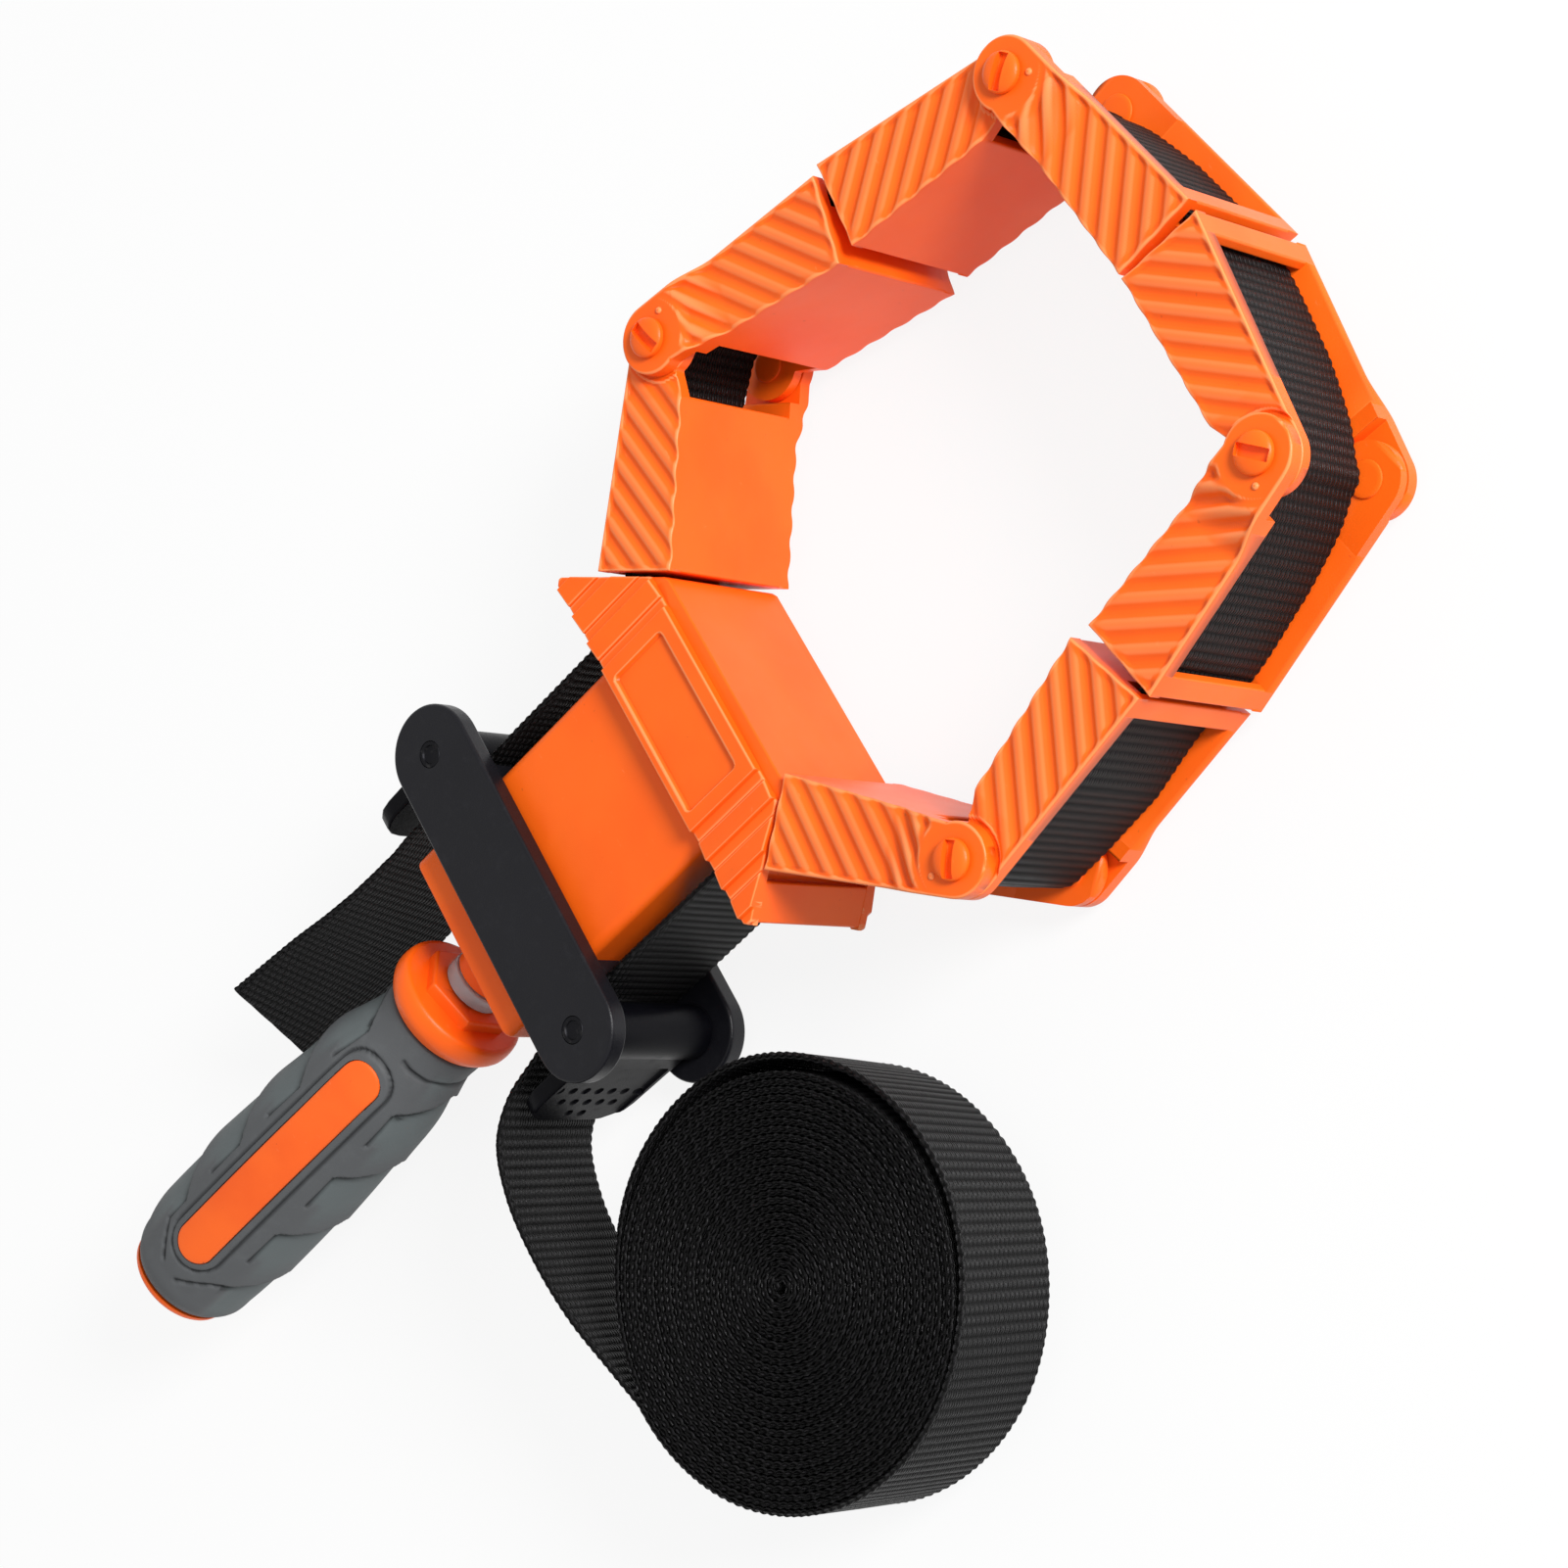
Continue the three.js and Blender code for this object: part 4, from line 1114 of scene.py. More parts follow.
# %% Carriage plates
LEVER_HUB = 5.0
CAM_X = WEB_RUN_X + WEB_HALF + 0.4 + LEVER_HUB
CAM_BORE = 2.5
PLATE_RADIUS = 9.15
CARRIAGE_IN = CHANNEL_HALF + RUN_GAP
CARRIAGE_OUT = CARRIAGE_IN + 4.0
stadium_outline = np.concatenate([
    arc((CAM_X, CAM_Y), PLATE_RADIUS, -math.pi / 2, math.pi / 2, 40),
    arc((-CAM_X, CAM_Y), PLATE_RADIUS, math.pi / 2, 3 * math.pi / 2, 40),
])
pin_holes = [rod(CAM_BORE, 0, 30, x, CAM_Y) for x in (CAM_X, -CAM_X)]
plate_shell = rounded_prism(stadium_outline, CARRIAGE_IN, CARRIAGE_OUT, edge=0.7, steps=5)
for side in ("front", "rear"):
    shells = [plate_shell, *pin_holes]
    if side == "rear":
        shells = [flipped(shell, 2) for shell in shells]
    plate = combine(f"carriage_plate_{side}", shells[0], cut=shells[1:])
    dress(plate, f"side_plate_{side}", black_nylon)

# %% Cam pins
rolled_rim = [
    (0.05, 17.5), (1.5, 17.5), (1.58, 17.55), (1.68, 17.84), (1.78, 17.92), (2.3, 17.92), (2.4, 17.82),
    (2.42, 17.4), (2.2, 17.1),
]
cam_pin_profile = [(r, -z) for r, z in rolled_rim] + rolled_rim[::-1]
for side, sign in (("right", 1), ("left", -1)):
    tube = combine(f"cam_tube_{side}", stacked(cam_pin_profile, (sign * CAM_X, CAM_Y), 48))
    dress(tube, f"cam_pin_{side}", blackened_steel)

# %% [markdown]
# Each cam lever has a round hub, a cam that bites the webbing and a flat thumb pad. The pad has round
# corners, a low lip along both sides and dimples for grip. The dimples are balls sunk into the pad and cut
# away.

# %% Cam levers
LEVER_REACH = 23.4
LEVER_THICK = 2.7
PAD_HALF = 12.3
PAD_FLARE = 0.2
DIMPLE_ROWS = (2, 5, 7)
DIMPLE_RADIUS = 1.25
DIMPLE_LIFT = 0.72
DIMPLE_PITCH = 3.4
ROW_PITCH = 3.5


def ball(centre, radius, sides=20, rings=10):
    angles = np.linspace(0, 2 * math.pi, sides, endpoint=False)
    levels = []
    for t in np.linspace(0, math.pi, rings + 1)[1:-1]:
        levels.append(np.column_stack([
            np.full(sides, centre[0] + radius * math.cos(t)),
            centre[1] + radius * math.sin(t) * np.cos(angles),
            centre[2] + radius * math.sin(t) * np.sin(angles),
        ]))
    return np.concatenate(levels), ring_faces(len(levels), sides)


def lever_plate(low, high, half, corner, bottom, top):
    """A plate in the pad's plane, from y = low to high, with round tip corners; it thickens to the hub."""
    outline = fillet([(low, -half), (high, -half), (high, half), (low, half)], [corner, 0.6, 0.6, corner])
    points, faces = rounded_prism(outline, bottom, top, edge=0.5)
    thicker = 1 + PAD_FLARE * (points[:, 0] - (CAM_Y - LEVER_REACH)) / LEVER_REACH
    return np.column_stack([CAM_X + points[:, 2] * thicker, points[:, 0], points[:, 1]]), faces


def lever_shells():
    tip = CAM_Y - LEVER_REACH
    pad = lever_plate(tip, CAM_Y - 2, PAD_HALF, 6.0, 0, LEVER_THICK + 0.5)
    pocket = lever_plate(tip - 2, CAM_Y - 6.2, PAD_HALF - 1.2, 0.6, LEVER_THICK, LEVER_THICK + 3)
    hub = rod(LEVER_HUB, -CHANNEL_HALF, CHANNEL_HALF, CAM_X, CAM_Y, edge=0.4)
    dimples = []
    for row, count in enumerate(DIMPLE_ROWS):
        y = tip + 2.2 + ROW_PITCH * row
        x = CAM_X + LEVER_THICK * (1 + PAD_FLARE * (y - tip) / LEVER_REACH) + DIMPLE_LIFT
        for k in range(count):
            dimples.append(ball((x, y, (k - (count - 1) / 2) * DIMPLE_PITCH), DIMPLE_RADIUS))
    return [hub], [pad], [pocket], dimples, [rod(CAM_BORE, -20, 20, CAM_X, CAM_Y)]


for side in ("right", "left"):
    groups = lever_shells()
    if side == "left":
        groups = [[flipped(shell, 0) for shell in shells] for shells in groups]
    hub, pad, pocket, dimples, bore = groups
    lever = combine(f"thumb_lever_{side}", hub[0], add=pad)
    cut_holes(lever, pocket, dimples, bore)
    finish_edges(lever, 32)
    dress(lever, f"cam_lever_{side}", lever_nylon_painted_shade)

# %% [markdown]
# The handle is turned about the spindle's axis: a six-sided boss and a collar in orange, the rubber grip,
# and an orange cap in its end. A clear washer runs between the housing and the boss.

# %% Core, cap and washer
BOSS_TOP = -88.4
COLLAR_TOP = -90.8
COLLAR_END = -97.3
GRIP_TOP = -97.6
GRIP_END = -181.8
GRIP_LENGTH = 84.2
GRIP_RADIUS = 14.6
GRIP_BORE = 9.1
HANDLE_TURN = math.radians(20)
BOSS_TURN = math.radians(-5)
collar_profile = [
    (12.0, COLLAR_TOP), (12.45, COLLAR_TOP - 0.1), (12.85, COLLAR_TOP - 0.4), (13.1, COLLAR_TOP - 0.9),
    (13.25, COLLAR_TOP - 1.7), (13.3, COLLAR_TOP - 2.6), (13.2, COLLAR_TOP - 3.6), (12.85, COLLAR_TOP - 4.4),
    (12.3, COLLAR_TOP - 5.3), (11.6, COLLAR_TOP - 6.1), (11.1, COLLAR_END), (8.8, COLLAR_END), (8.8, -181.7),
]
hexagon = arc((0, 0), 16.6 / math.sqrt(3), math.pi / 6, 2.5 * math.pi - math.pi / 3, 6)[:-1]
boss = along_y(fillet(hexagon, 0.6), COLLAR_TOP - 0.5, BOSS_TOP, edge=0.6, sharp_low=True)
boss = moved(boss, Matrix.Rotation(BOSS_TURN, 4, "Y"))
spindle_hole = rod_y(SHAFT_HOLE, -165.7, -70, sharp_low=True, sharp_high=True)
core = combine("collar_core", turned(collar_profile, 96), add=[boss])
cut_holes(core, [spindle_hole])
finish_edges(core, 34)
dress(core, "handle_core", orange_nylon)

cap_profile = [
    (10.7, GRIP_END - 0.3), (10.68, GRIP_END - 0.75), (10.5, GRIP_END - 1.25), (10.15, GRIP_END - 1.7),
    (9.6, GRIP_END - 2.05), (8.7, GRIP_END - 2.28), (7.0, GRIP_END - 2.42), (0.3, GRIP_END - 2.5),
]
cap = combine("handle_cap", turned(cap_profile, 96))
dress(cap, "end_cap", orange_nylon)

washer_profile = fillet([(4.3, -88.1), (6.1, -88.1), (6.1, -85.1), (4.3, -85.1)], 0.35)
washer = combine("clear_washer", turned(washer_profile, 72, closed=True))
dress(washer, "thrust_washer", clear_plastic)

# %% [markdown]
# The rubber grip is a barrel with a tread: stepped blocks, each a little lower just behind a thin groove,
# run round it on both sides of a long orange inlay. The surface is a fine grid round the barrel. For each
# point the distances to the grooves and to the inlay's border say how far it sinks or stands out.

# %% Barrel of the grip
SHARES = np.array([
    (0, 0.76), (0.052, 0.77), (0.124, 0.84), (0.197, 0.93), (0.331, 0.97), (0.476, 1), (0.621, 1),
    (0.746, 0.98), (0.839, 0.95), (0.911, 0.91), (0.965, 0.86), (1, 0.725),
])


def smooth_through(places, values, at):
    """A smooth curve through given values, with slopes taken from the neighbours."""
    slopes = np.gradient(values, places)
    i = np.clip(np.searchsorted(places, at) - 1, 0, len(places) - 2)
    width = places[i + 1] - places[i]
    t = (at - places[i]) / width
    a, b = values[i], values[i + 1]
    return (
        (2 * t**3 - 3 * t**2 + 1) * a + (t**3 - 2 * t**2 + t) * width * slopes[i]
        + (3 * t**2 - 2 * t**3) * b + (t**3 - t**2) * width * slopes[i + 1]
    )


def barrel(y):
    share = np.clip((GRIP_TOP - y) / GRIP_LENGTH, 0, 1)
    return GRIP_RADIUS * smooth_through(SHARES[:, 0], SHARES[:, 1], share)


INLAY_HALF = 4.2
INLAY_TOP = GRIP_TOP - GRIP_LENGTH * 0.1243
INLAY_END = GRIP_TOP - GRIP_LENGTH * 0.8389
print("inlay from y", round(INLAY_TOP, 2), "to", round(INLAY_END, 2))

# %% Tread of the grip
TREAD_PITCH = 18.6
TREAD_SINK = 1.0
GROOVE_WIDTH = 0.42
GROOVE_DEPTH = 0.6
FAR = 9.0
MEAN_RADIUS = 14.0
DEGREE = math.radians(MEAN_RADIUS)  # millimetres round the grip for one degree
SIDES = [
    dict(middle=90, line=40, first=-112.9, slope=0.115, lengths=(9.1, 9.4, 9.8, 0.1), shade=1.5),
    dict(middle=-90, line=34, first=-105.2, slope=0.19, lengths=(9.1, 10.6, 10.0, 7.0), shade=1.6),
]
LOOSE_GROOVES = (
    [(14, -103.1), (24, -103.5), (53, -103.9), (99, -103.2), (140, -102.6)],
    [(41, -168.5), (33, -169.5), (9, -174.4)],
    [(-34, -167.1), (-11, -173.3)],
)


def tread(angle, y):
    """How far the tread moves the surface, how much of a block each point is, and how near a groove is."""
    lift = np.zeros_like(y)
    share = np.zeros_like(y)
    groove = np.full_like(y, FAR)
    shade = np.zeros_like(y)
    ends = smooth_step(-y, 99.5, 104) * (1 - smooth_step(-y, 177, 182))
    for side in SIDES:
        away = np.minimum(np.abs(angle - side["middle"]), 360 - np.abs(angle - side["middle"]))
        into = (90 - side["line"]) - away
        along = (side["first"] + side["slope"] * np.maximum(into, 0) - y) / TREAD_PITCH
        part = np.mod(along, 1.0)
        number = np.floor((side["first"] - y) / TREAD_PITCH).astype(int)
        limit = np.where(number < 0, 0.1, np.array(side["lengths"])[np.clip(number, 0, 3)]) / TREAD_PITCH
        shown = smooth_step(into, -0.5, 0.5) * ends
        fade = smooth_step(into, 1.0, 16.0)
        sink = (1 - fade) * np.maximum(0, 1 - part / limit) ** 0.6 + fade * (1 - part) ** 0.8
        lift -= TREAD_SINK * sink * shown
        share = np.maximum(share, sink * shown)
        across = np.where(into > 0, np.minimum(part, 1 - part) * TREAD_PITCH, FAR)
        beside = np.mod((side["first"] - y) / TREAD_PITCH, 1.0)
        line = np.where((beside < limit) & (number >= 0), np.abs(into) * DEGREE, FAR)
        on_grip = (y < -98) & (y > -178)
        groove = np.minimum(groove, np.where(on_grip, np.minimum(across * 1.2, line), FAR))
        # A thin band on each block's lip and just below it, kept for a painted shadow line in the rubber's
        # colour
        beside_lip = np.where(part > 0.5, (1 - part) / 0.45, part / side["shade"]) * TREAD_PITCH
        below = np.exp(-(beside_lip**2)) * smooth_step(into, -0.5, 0.5)
        shade = np.maximum(shade, np.where(on_grip, below, 0))
    flat = np.column_stack([angle.reshape(-1) * DEGREE, y.reshape(-1)])
    for places in LOOSE_GROOVES:
        outline = np.array(places, float) * np.array([DEGREE, 1])
        groove = np.minimum(groove, far_from(flat, outline).reshape(y.shape))
    return lift, share, groove, shade


def stadium_distance(across, y, half, top, end):
    middle = np.clip(y, end + half, top - half)
    return np.hypot(across, y - middle) - half


GRIP_SIDES = 300
grip_angles = np.linspace(-180, 180, GRIP_SIDES, endpoint=False)
grip_rows = np.arange(GRIP_TOP - 0.15, GRIP_TOP - GRIP_LENGTH, -0.36)
grip_rows = np.concatenate([[GRIP_TOP], grip_rows, [GRIP_END]])
angle_grid, y_grid = np.meshgrid(grip_angles, grip_rows)
lift, block_share, groove, shade = tread(angle_grid, y_grid)
for inlay_angle in (0.0, 180.0):
    turn_away = np.mod(angle_grid - inlay_angle + 180, 360) - 180
    sideways = np.radians(turn_away) * barrel(y_grid)
    border = stadium_distance(sideways, y_grid, INLAY_HALF, INLAY_TOP, INLAY_END)
    calm = smooth_step(border, 1.9, 2.9)
    lift = lift * calm + 0.3 * (1 - smooth_step(border, 1.2, 1.6))
    block_share = block_share * calm
    shade = shade * calm
    groove = np.where(border < 2.2, FAR, groove)
    groove = np.minimum(groove, np.abs(border - 1.95) * 1.4)
groove_share = np.exp(-((groove / GROOVE_WIDTH) ** 2))
lift -= GROOVE_DEPTH * groove_share
# From here the groove share also holds the painted shadow line; the rubber's colour darkens both as painted
# shade
groove_share = np.maximum(groove_share, shade)
END_ROUND = 0.9
row_end = np.minimum(GRIP_TOP - grip_rows, grip_rows - GRIP_END)[:, None]
lift -= END_ROUND * (1 - np.sqrt(1 - (1 - np.clip(row_end / END_ROUND, 0, 1)) ** 2))
grip_points = [round_y(barrel(y_grid) + lift, np.radians(angle_grid) + HANDLE_TURN, y_grid)]
for y in (GRIP_END, GRIP_TOP):
    grip_points.append(round_y(GRIP_BORE, np.radians(grip_angles) + HANDLE_TURN, np.full(GRIP_SIDES, y)))
grip_points = np.concatenate(grip_points)
grip_shell = (grip_points, ring_faces(len(grip_rows) + 2, GRIP_SIDES, closed=True))
print("grip points:", len(grip_points))

# %% Cut the windows of the grip
WINDOW_ARC = 20


def stadium(half, top, end, steps=WINDOW_ARC, straight=60):
    left = np.column_stack([np.full(straight, -half), np.linspace(top - half, end + half, straight + 1)[1:]])
    right = np.column_stack([np.full(straight, half), np.linspace(end + half, top - half, straight + 1)[1:]])
    upper = arc((0, top - half), half, 0, math.pi, steps)
    lower = arc((0, end + half), half, math.pi, 2 * math.pi, steps)
    return np.concatenate([upper, left[:-1], lower, right[:-1]])


grip = new_object("grip_rubber_body", grip_shell)
clean(grip)
window = stadium(INLAY_HALF + 0.12, INLAY_TOP + 0.12, INLAY_END - 0.12)
cutters = []
for inlay_turn in (0, math.pi):
    tool = rounded_prism(window, 8.5, 20, sharp_low=True, sharp_high=True)
    cutters.append(moved(tool, Matrix.Rotation(HANDLE_TURN + inlay_turn, 4, "Y")))
cut_holes(grip, cutters)


def nearest_tread(points, values):
    """The value of the tread at each point of the cut mesh, read back from its angle and height."""
    y = points[:, 1]
    angle = np.degrees(np.arctan2(points[:, 0], points[:, 2]) - HANDLE_TURN)
    column = np.mod(np.round((angle + 180) / 360 * GRIP_SIDES).astype(int), GRIP_SIDES)
    row = np.clip(np.searchsorted(-grip_rows, -y), 0, len(grip_rows) - 1)
    outside = np.hypot(points[:, 0], points[:, 2]) > GRIP_BORE + 0.3
    return np.where(outside, values[row, column], 0)


grip_now = read_points(grip) / MM
for layer_name, values in (("tread", block_share), ("groove", groove_share)):
    store(grip, layer_name, nearest_tread(grip_now, values))
finish_edges(grip, 50)
dress(grip, "grip_sleeve", grey_rubber)

# %% [markdown]
# The two inlays are part of the orange core that stands up through windows in the rubber. Their faces
# follow the barrel and stand half a millimetre proud, with a small round along the edge.

# %% Inlays
INLAY_PROFILE = [
    (0, -2.6), (0, 0.14), (0.05, 0.3), (0.16, 0.42), (0.34, 0.5), (0.6, 0.52), (1.2, 0.54), (1.9, 0.55),
    (2.6, 0.55), (3.3, 0.55), (3.9, 0.55),
]


def inlay_shell():
    levels = []
    for distance, proud in INLAY_PROFILE:
        outline = stadium(INLAY_HALF - distance, INLAY_TOP - distance, INLAY_END + distance)
        reach = barrel(outline[:, 1]) + proud
        levels.append(np.column_stack([outline, np.sqrt(np.maximum(reach**2 - outline[:, 0] ** 2, 1))]))
    count = len(levels[0])
    top = (len(levels) - 1) * count
    faces = ring_faces(len(levels), count, caps=False)
    faces.append(tuple(range(count - 1, -1, -1)))
    for i in range(WINDOW_ARC // 2, WINDOW_ARC // 2 + count // 2):
        across = (i, i + 1, WINDOW_ARC - i - 1, WINDOW_ARC - i)
        faces.append(tuple(dict.fromkeys(top + k % count for k in across)))
    return np.concatenate(levels), faces


for side, inlay_turn in (("front", 0), ("rear", math.pi)):
    inlay = combine(f"inlay_{side}", moved(inlay_shell(), Matrix.Rotation(HANDLE_TURN + inlay_turn, 4, "Y")))
    dress(inlay, f"grip_inlay_{side}", inlay_orange)

# %% [markdown]
# The nut, the anvils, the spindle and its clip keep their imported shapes, since they are plain and mostly
# hidden. They only get their materials and a small bevel, so that their edges catch the light.

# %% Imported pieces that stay
STAYING = {
    "cross_nut": turned_steel, "spindle": turned_steel, "spindle_clip": turned_steel,
    "anvil_left": black_nylon, "anvil_right": black_nylon,
}
for node, material in STAYING.items():
    packed = frame["nodes"][node]
    packed.data.materials.clear()
    packed.data.materials.append(material)
    bevel = packed.modifiers.new("small bevel", "BEVEL")
    bevel.width = 0.2 * MM
    bevel.segments = 2
    bevel.limit_method = "ANGLE"
    bevel.angle_limit = math.radians(40)
print("kept:", ", ".join(STAYING))

# %% [markdown]
# The webbing follows centre lines in the plane of the clamp: over each hinge, past each pair of free ends,
# into the head, round a bar, down to the cams, and out to the tail and the roll. A smooth curve through a
# few places gives each line, and it is then cut into even steps.

# %% Centre lines
LINE_STEP = 0.05


def smooth_line(places):
    """Curve through places whose bends keep away from loops where places lie close together."""
    places = np.array(places, float)
    ends = np.concatenate([[2 * places[0] - places[1]], places, [2 * places[-1] - places[-2]]])
    line = []
    for p0, p1, p2, p3 in zip(ends[:-3], ends[1:-2], ends[2:-1], ends[3:]):
        knots = np.cumsum([0] + [np.linalg.norm(b - a) ** 0.5 for a, b in ((p0, p1), (p1, p2), (p2, p3))])
        count = max(int(np.linalg.norm(p2 - p1) / LINE_STEP), 2)
        t = np.linspace(knots[1], knots[2], count, endpoint=False)[:, None]
        a1 = ((knots[1] - t) * p0 + (t - knots[0]) * p1) / (knots[1] - knots[0])
        a2 = ((knots[2] - t) * p1 + (t - knots[1]) * p2) / (knots[2] - knots[1])
        a3 = ((knots[3] - t) * p2 + (t - knots[2]) * p3) / (knots[3] - knots[2])
        b1 = ((knots[2] - t) * a1 + (t - knots[0]) * a2) / (knots[2] - knots[0])
        b2 = ((knots[3] - t) * a2 + (t - knots[1]) * a3) / (knots[3] - knots[1])
        line.append(((knots[2] - t) * b1 + (t - knots[1]) * b2) / (knots[2] - knots[1]))
    return np.concatenate([*line, places[-1:]])


def evenly(line, spacing):
    """The same line in steps as near to the spacing as its length allows, and its length."""
    steps = np.linalg.norm(np.diff(line, axis=0), axis=1)
    reach = np.concatenate([[0], np.cumsum(steps)])
    count = max(int(round(reach[-1] / spacing)), 2)
    at = np.linspace(0, reach[-1], count + 1)
    return np.column_stack([np.interp(at, reach, line[:, i]) for i in range(2)]), at


# Places on a link, as shares of its length and of the webbing's height over the free ends.
MID_SHARE = {"a": 0.88, "d": 0.88, "b": 0.73, "c": 0.73}
BEND_SHARES = {
    "a": ((0.24, 0.64), (0.176, 0.58), (0.085, 0.47)),
    "b": ((0.37, 0.58), (0.208, 0.35), (0.085, 0.065)),
}
CROWN_SHARE = {"a": 0.35, "b": -0.1}


def bend_line(first_key, second_key):
    letter = first_key[0]

    def side(key):
        shares = [(0.5, MID_SHARE[letter]), *BEND_SHARES[letter]]
        return [on_link(key, LINK_REACH * reach, WEB_HEIGHT * height) for reach, height in shares]

    outwards = -unit(LINKS[first_key]["direction"] + LINKS[second_key]["direction"])
    crown = LINKS[first_key]["pin"] + outwards * WEB_HEIGHT * CROWN_SHARE[letter]
    return smooth_line([*side(first_key), crown, *reversed(side(second_key))])


def join_line(from_key, to_key):
    return smooth_line([
        on_link(from_key, LINK_REACH / 2, WEB_HEIGHT * MID_SHARE[from_key[0]]),
        on_link(from_key, LINK_REACH - BAR_LENGTH, WEB_HEIGHT - 0.35),
        on_link(to_key, LINK_REACH - BAR_LENGTH, WEB_HEIGHT),
        on_link(to_key, LINK_REACH / 2, WEB_HEIGHT * MID_SHARE[to_key[0]]),
    ])


wing_mid = np.array([-WEB_RUN_X, web_corner[1] - GUIDE_OFF])
cam_start = np.array([-WEB_RUN_X, CAM_Y])


def entry_line():
    bow = GUIDE_OFF * math.tan(SLANT / 2)
    return smooth_line([
        on_link("a1", LINK_REACH / 2, WEB_HEIGHT * MID_SHARE["a"]),
        on_link("a1", LINK_REACH - BAR_LENGTH, WEB_HEIGHT),
        on_link("a1", LINK_REACH, WEB_HEIGHT),
        web_entry,
        web_corner - towards(ANGLE_A1) * bow,
        web_corner - np.array([1, 1]) * bow / 8,
        np.array([web_corner[0], web_corner[1] - bow]),
        wing_mid,
    ])


# %% [markdown]
# A strip of webbing is a ring of points at each step of its line. Both faces bulge over each rib, half a
# rib apart, and the edges are beaded where the weft turns back. Every point also carries its distance
# along and across the webbing for the material.

# %% Strip of webbing
HALF_WIDTH = 12.5
STEP = 0.24
BEAD = 1.7
SKIN = 0.58
WIDTHS = (3.0, 6.0, 9.0, 11.3, 12.1)


def strip_object(name, line, begin, across=WIDTHS, sway=None, lean=None, packed=False, relief=0.3):
    """Sweep the woven section along a line that starts at the distance begin.

    Sway shifts it sideways, lean tilts it, in millimetres at its front edge, a packed strip has beads as
    thick as its turns, and relief is the height of its ribs.
    """
    stations, at = evenly(line, STEP)
    heading = np.gradient(stations, axis=0)
    heading /= np.linalg.norm(heading, axis=1)[:, None]
    side = np.column_stack([-heading[:, 1], heading[:, 0]])
    along = begin + at
    wander = 0.25 * np.sin(along / 3.7) if packed else 0 * along
    edge_thick, edge_out = (0.34, 0.4) if packed else (0.24, 0.2)
    ribs, bead = {}, {}
    for face in (1, -1):
        place = 0 if face > 0 else 0.5
        ribs[face] = np.abs(np.sin(math.pi * (along / PICK + place)))
        bead[face] = np.abs(np.sin(math.pi * (along / BEAD + place + wander)))
    shift = np.zeros(len(at)) if sway is None else sway(along)
    tilt = np.zeros(len(at)) if lean is None else lean(at) / HALF_WIDTH
    level = np.sqrt(1 - tilt**2)
    widths = [-a for a in reversed(across)] + [0.0] + list(across)
    sections = []
    for face in (1, -1):
        for width in widths[::face]:
            if abs(width) > 12:
                out, deep = edge_thick + 0.28 * bead[face], 1 - bead[face]
            else:
                sunk = 0.93 if abs(width) > 11 else 1.0
                out, deep = sunk * (SKIN - relief + relief * ribs[face] ** 0.7), 1 - ribs[face]
            sections.append((np.full(len(at), width), face * out, deep))
        edge = HALF_WIDTH - 0.2 + (0.1 + edge_out) * bead[1]
        sections.append((face * edge, np.zeros(len(at)), 0.6 - 0.6 * bead[1]))
    size = len(sections)
    points = np.empty((len(at), size, 3))
    valley = np.empty((len(at), size))
    # How deep each point lies between ribs or beads; the webbing's colour darkens it as painted shade
    depth_share = 0.4 if packed else 1.0
    for k, (width, out, deep) in enumerate(sections):
        points[:, k, :2] = stations + side * (out * level - tilt * width)[:, None]
        points[:, k, 2] = width * level + shift + out * tilt
        valley[:, k] = deep * (depth_share if np.max(np.abs(width)) > 12 else relief / 0.3)
    thing = new_object(name, (points.reshape(-1, 3), ring_faces(len(at), size)))
    widths_now = np.column_stack([width for width, out, deep in sections])
    for layer_name, values in (("along", np.repeat(along, size)), ("across", widths_now), ("valley", valley)):
        store(thing, layer_name, values)
    clean(thing, weld=0)
    crisp_above(thing, 60)
    thing.data.materials.append(black_webbing)
    return thing, float(at[-1])


def dress_webbing(thing, node, length):
    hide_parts(node)
    length * MM
    print(f"{thing.name}: {length:.1f} mm")


def place3(flat):
    return (flat[0] * MM, flat[1] * MM, 0.0)


# %% [markdown]
# Round the ring the webbing is one piece on the real clamp. Here it is cut at the middle of each link, so
# that each length crosses one joint. The ribs are counted from the top of the ring, so they meet. At the
# top, where the two halves of the ring part when they move, the webbing leaves a hair of space.

# %% Webbing round the ring
JOINTS = {joint["name"]: joint for joint in frame["record"]["behaviour"]["joints"]}
RIGHT_OF = {"a1": "d2", "a2": "d1", "b1": "c2", "b2": "c1"}
TOP_GAP = 1.1
top_line = join_line("b2", "c1")
top_line = top_line[top_line[:, 0] <= -TOP_GAP / 2][::-1]
top_line[0, 0] = -TOP_GAP / 2
run_line = np.linspace(wing_mid, cam_start, 200)
ring_pieces = [
    ("webbing_top", top_line, None, ("strap_join_bc_left", "strap_join_bc_right")),
    ("webbing_bend_upper", bend_line("b1", "b2")[::-1], ("b1", "b2"), ("strap_bend_b", "strap_bend_c")),
    ("webbing_join_side", join_line("a2", "b1")[::-1], ("a2", "b1"), ("strap_join_ab", "strap_join_cd")),
    ("webbing_bend_lower", bend_line("a1", "a2")[::-1], ("a1", "a2"), ("strap_bend_a", "strap_bend_d")),
    ("webbing_entry", entry_line(), ("a1", "head"), ("strap_left_entry", "strap_right_entry")),
    ("webbing_run", run_line, ("head", "carriage"), ("strap_left_run", "strap_right_run")),
]
BENDS = {
    ("b1", "b2"): ("hinge_b", 9.0), ("a2", "b1"): ("flex_ab", 4.0),
    ("a1", "a2"): ("hinge_a", 9.0), ("a1", "head"): ("rock_a", 4.0),
}


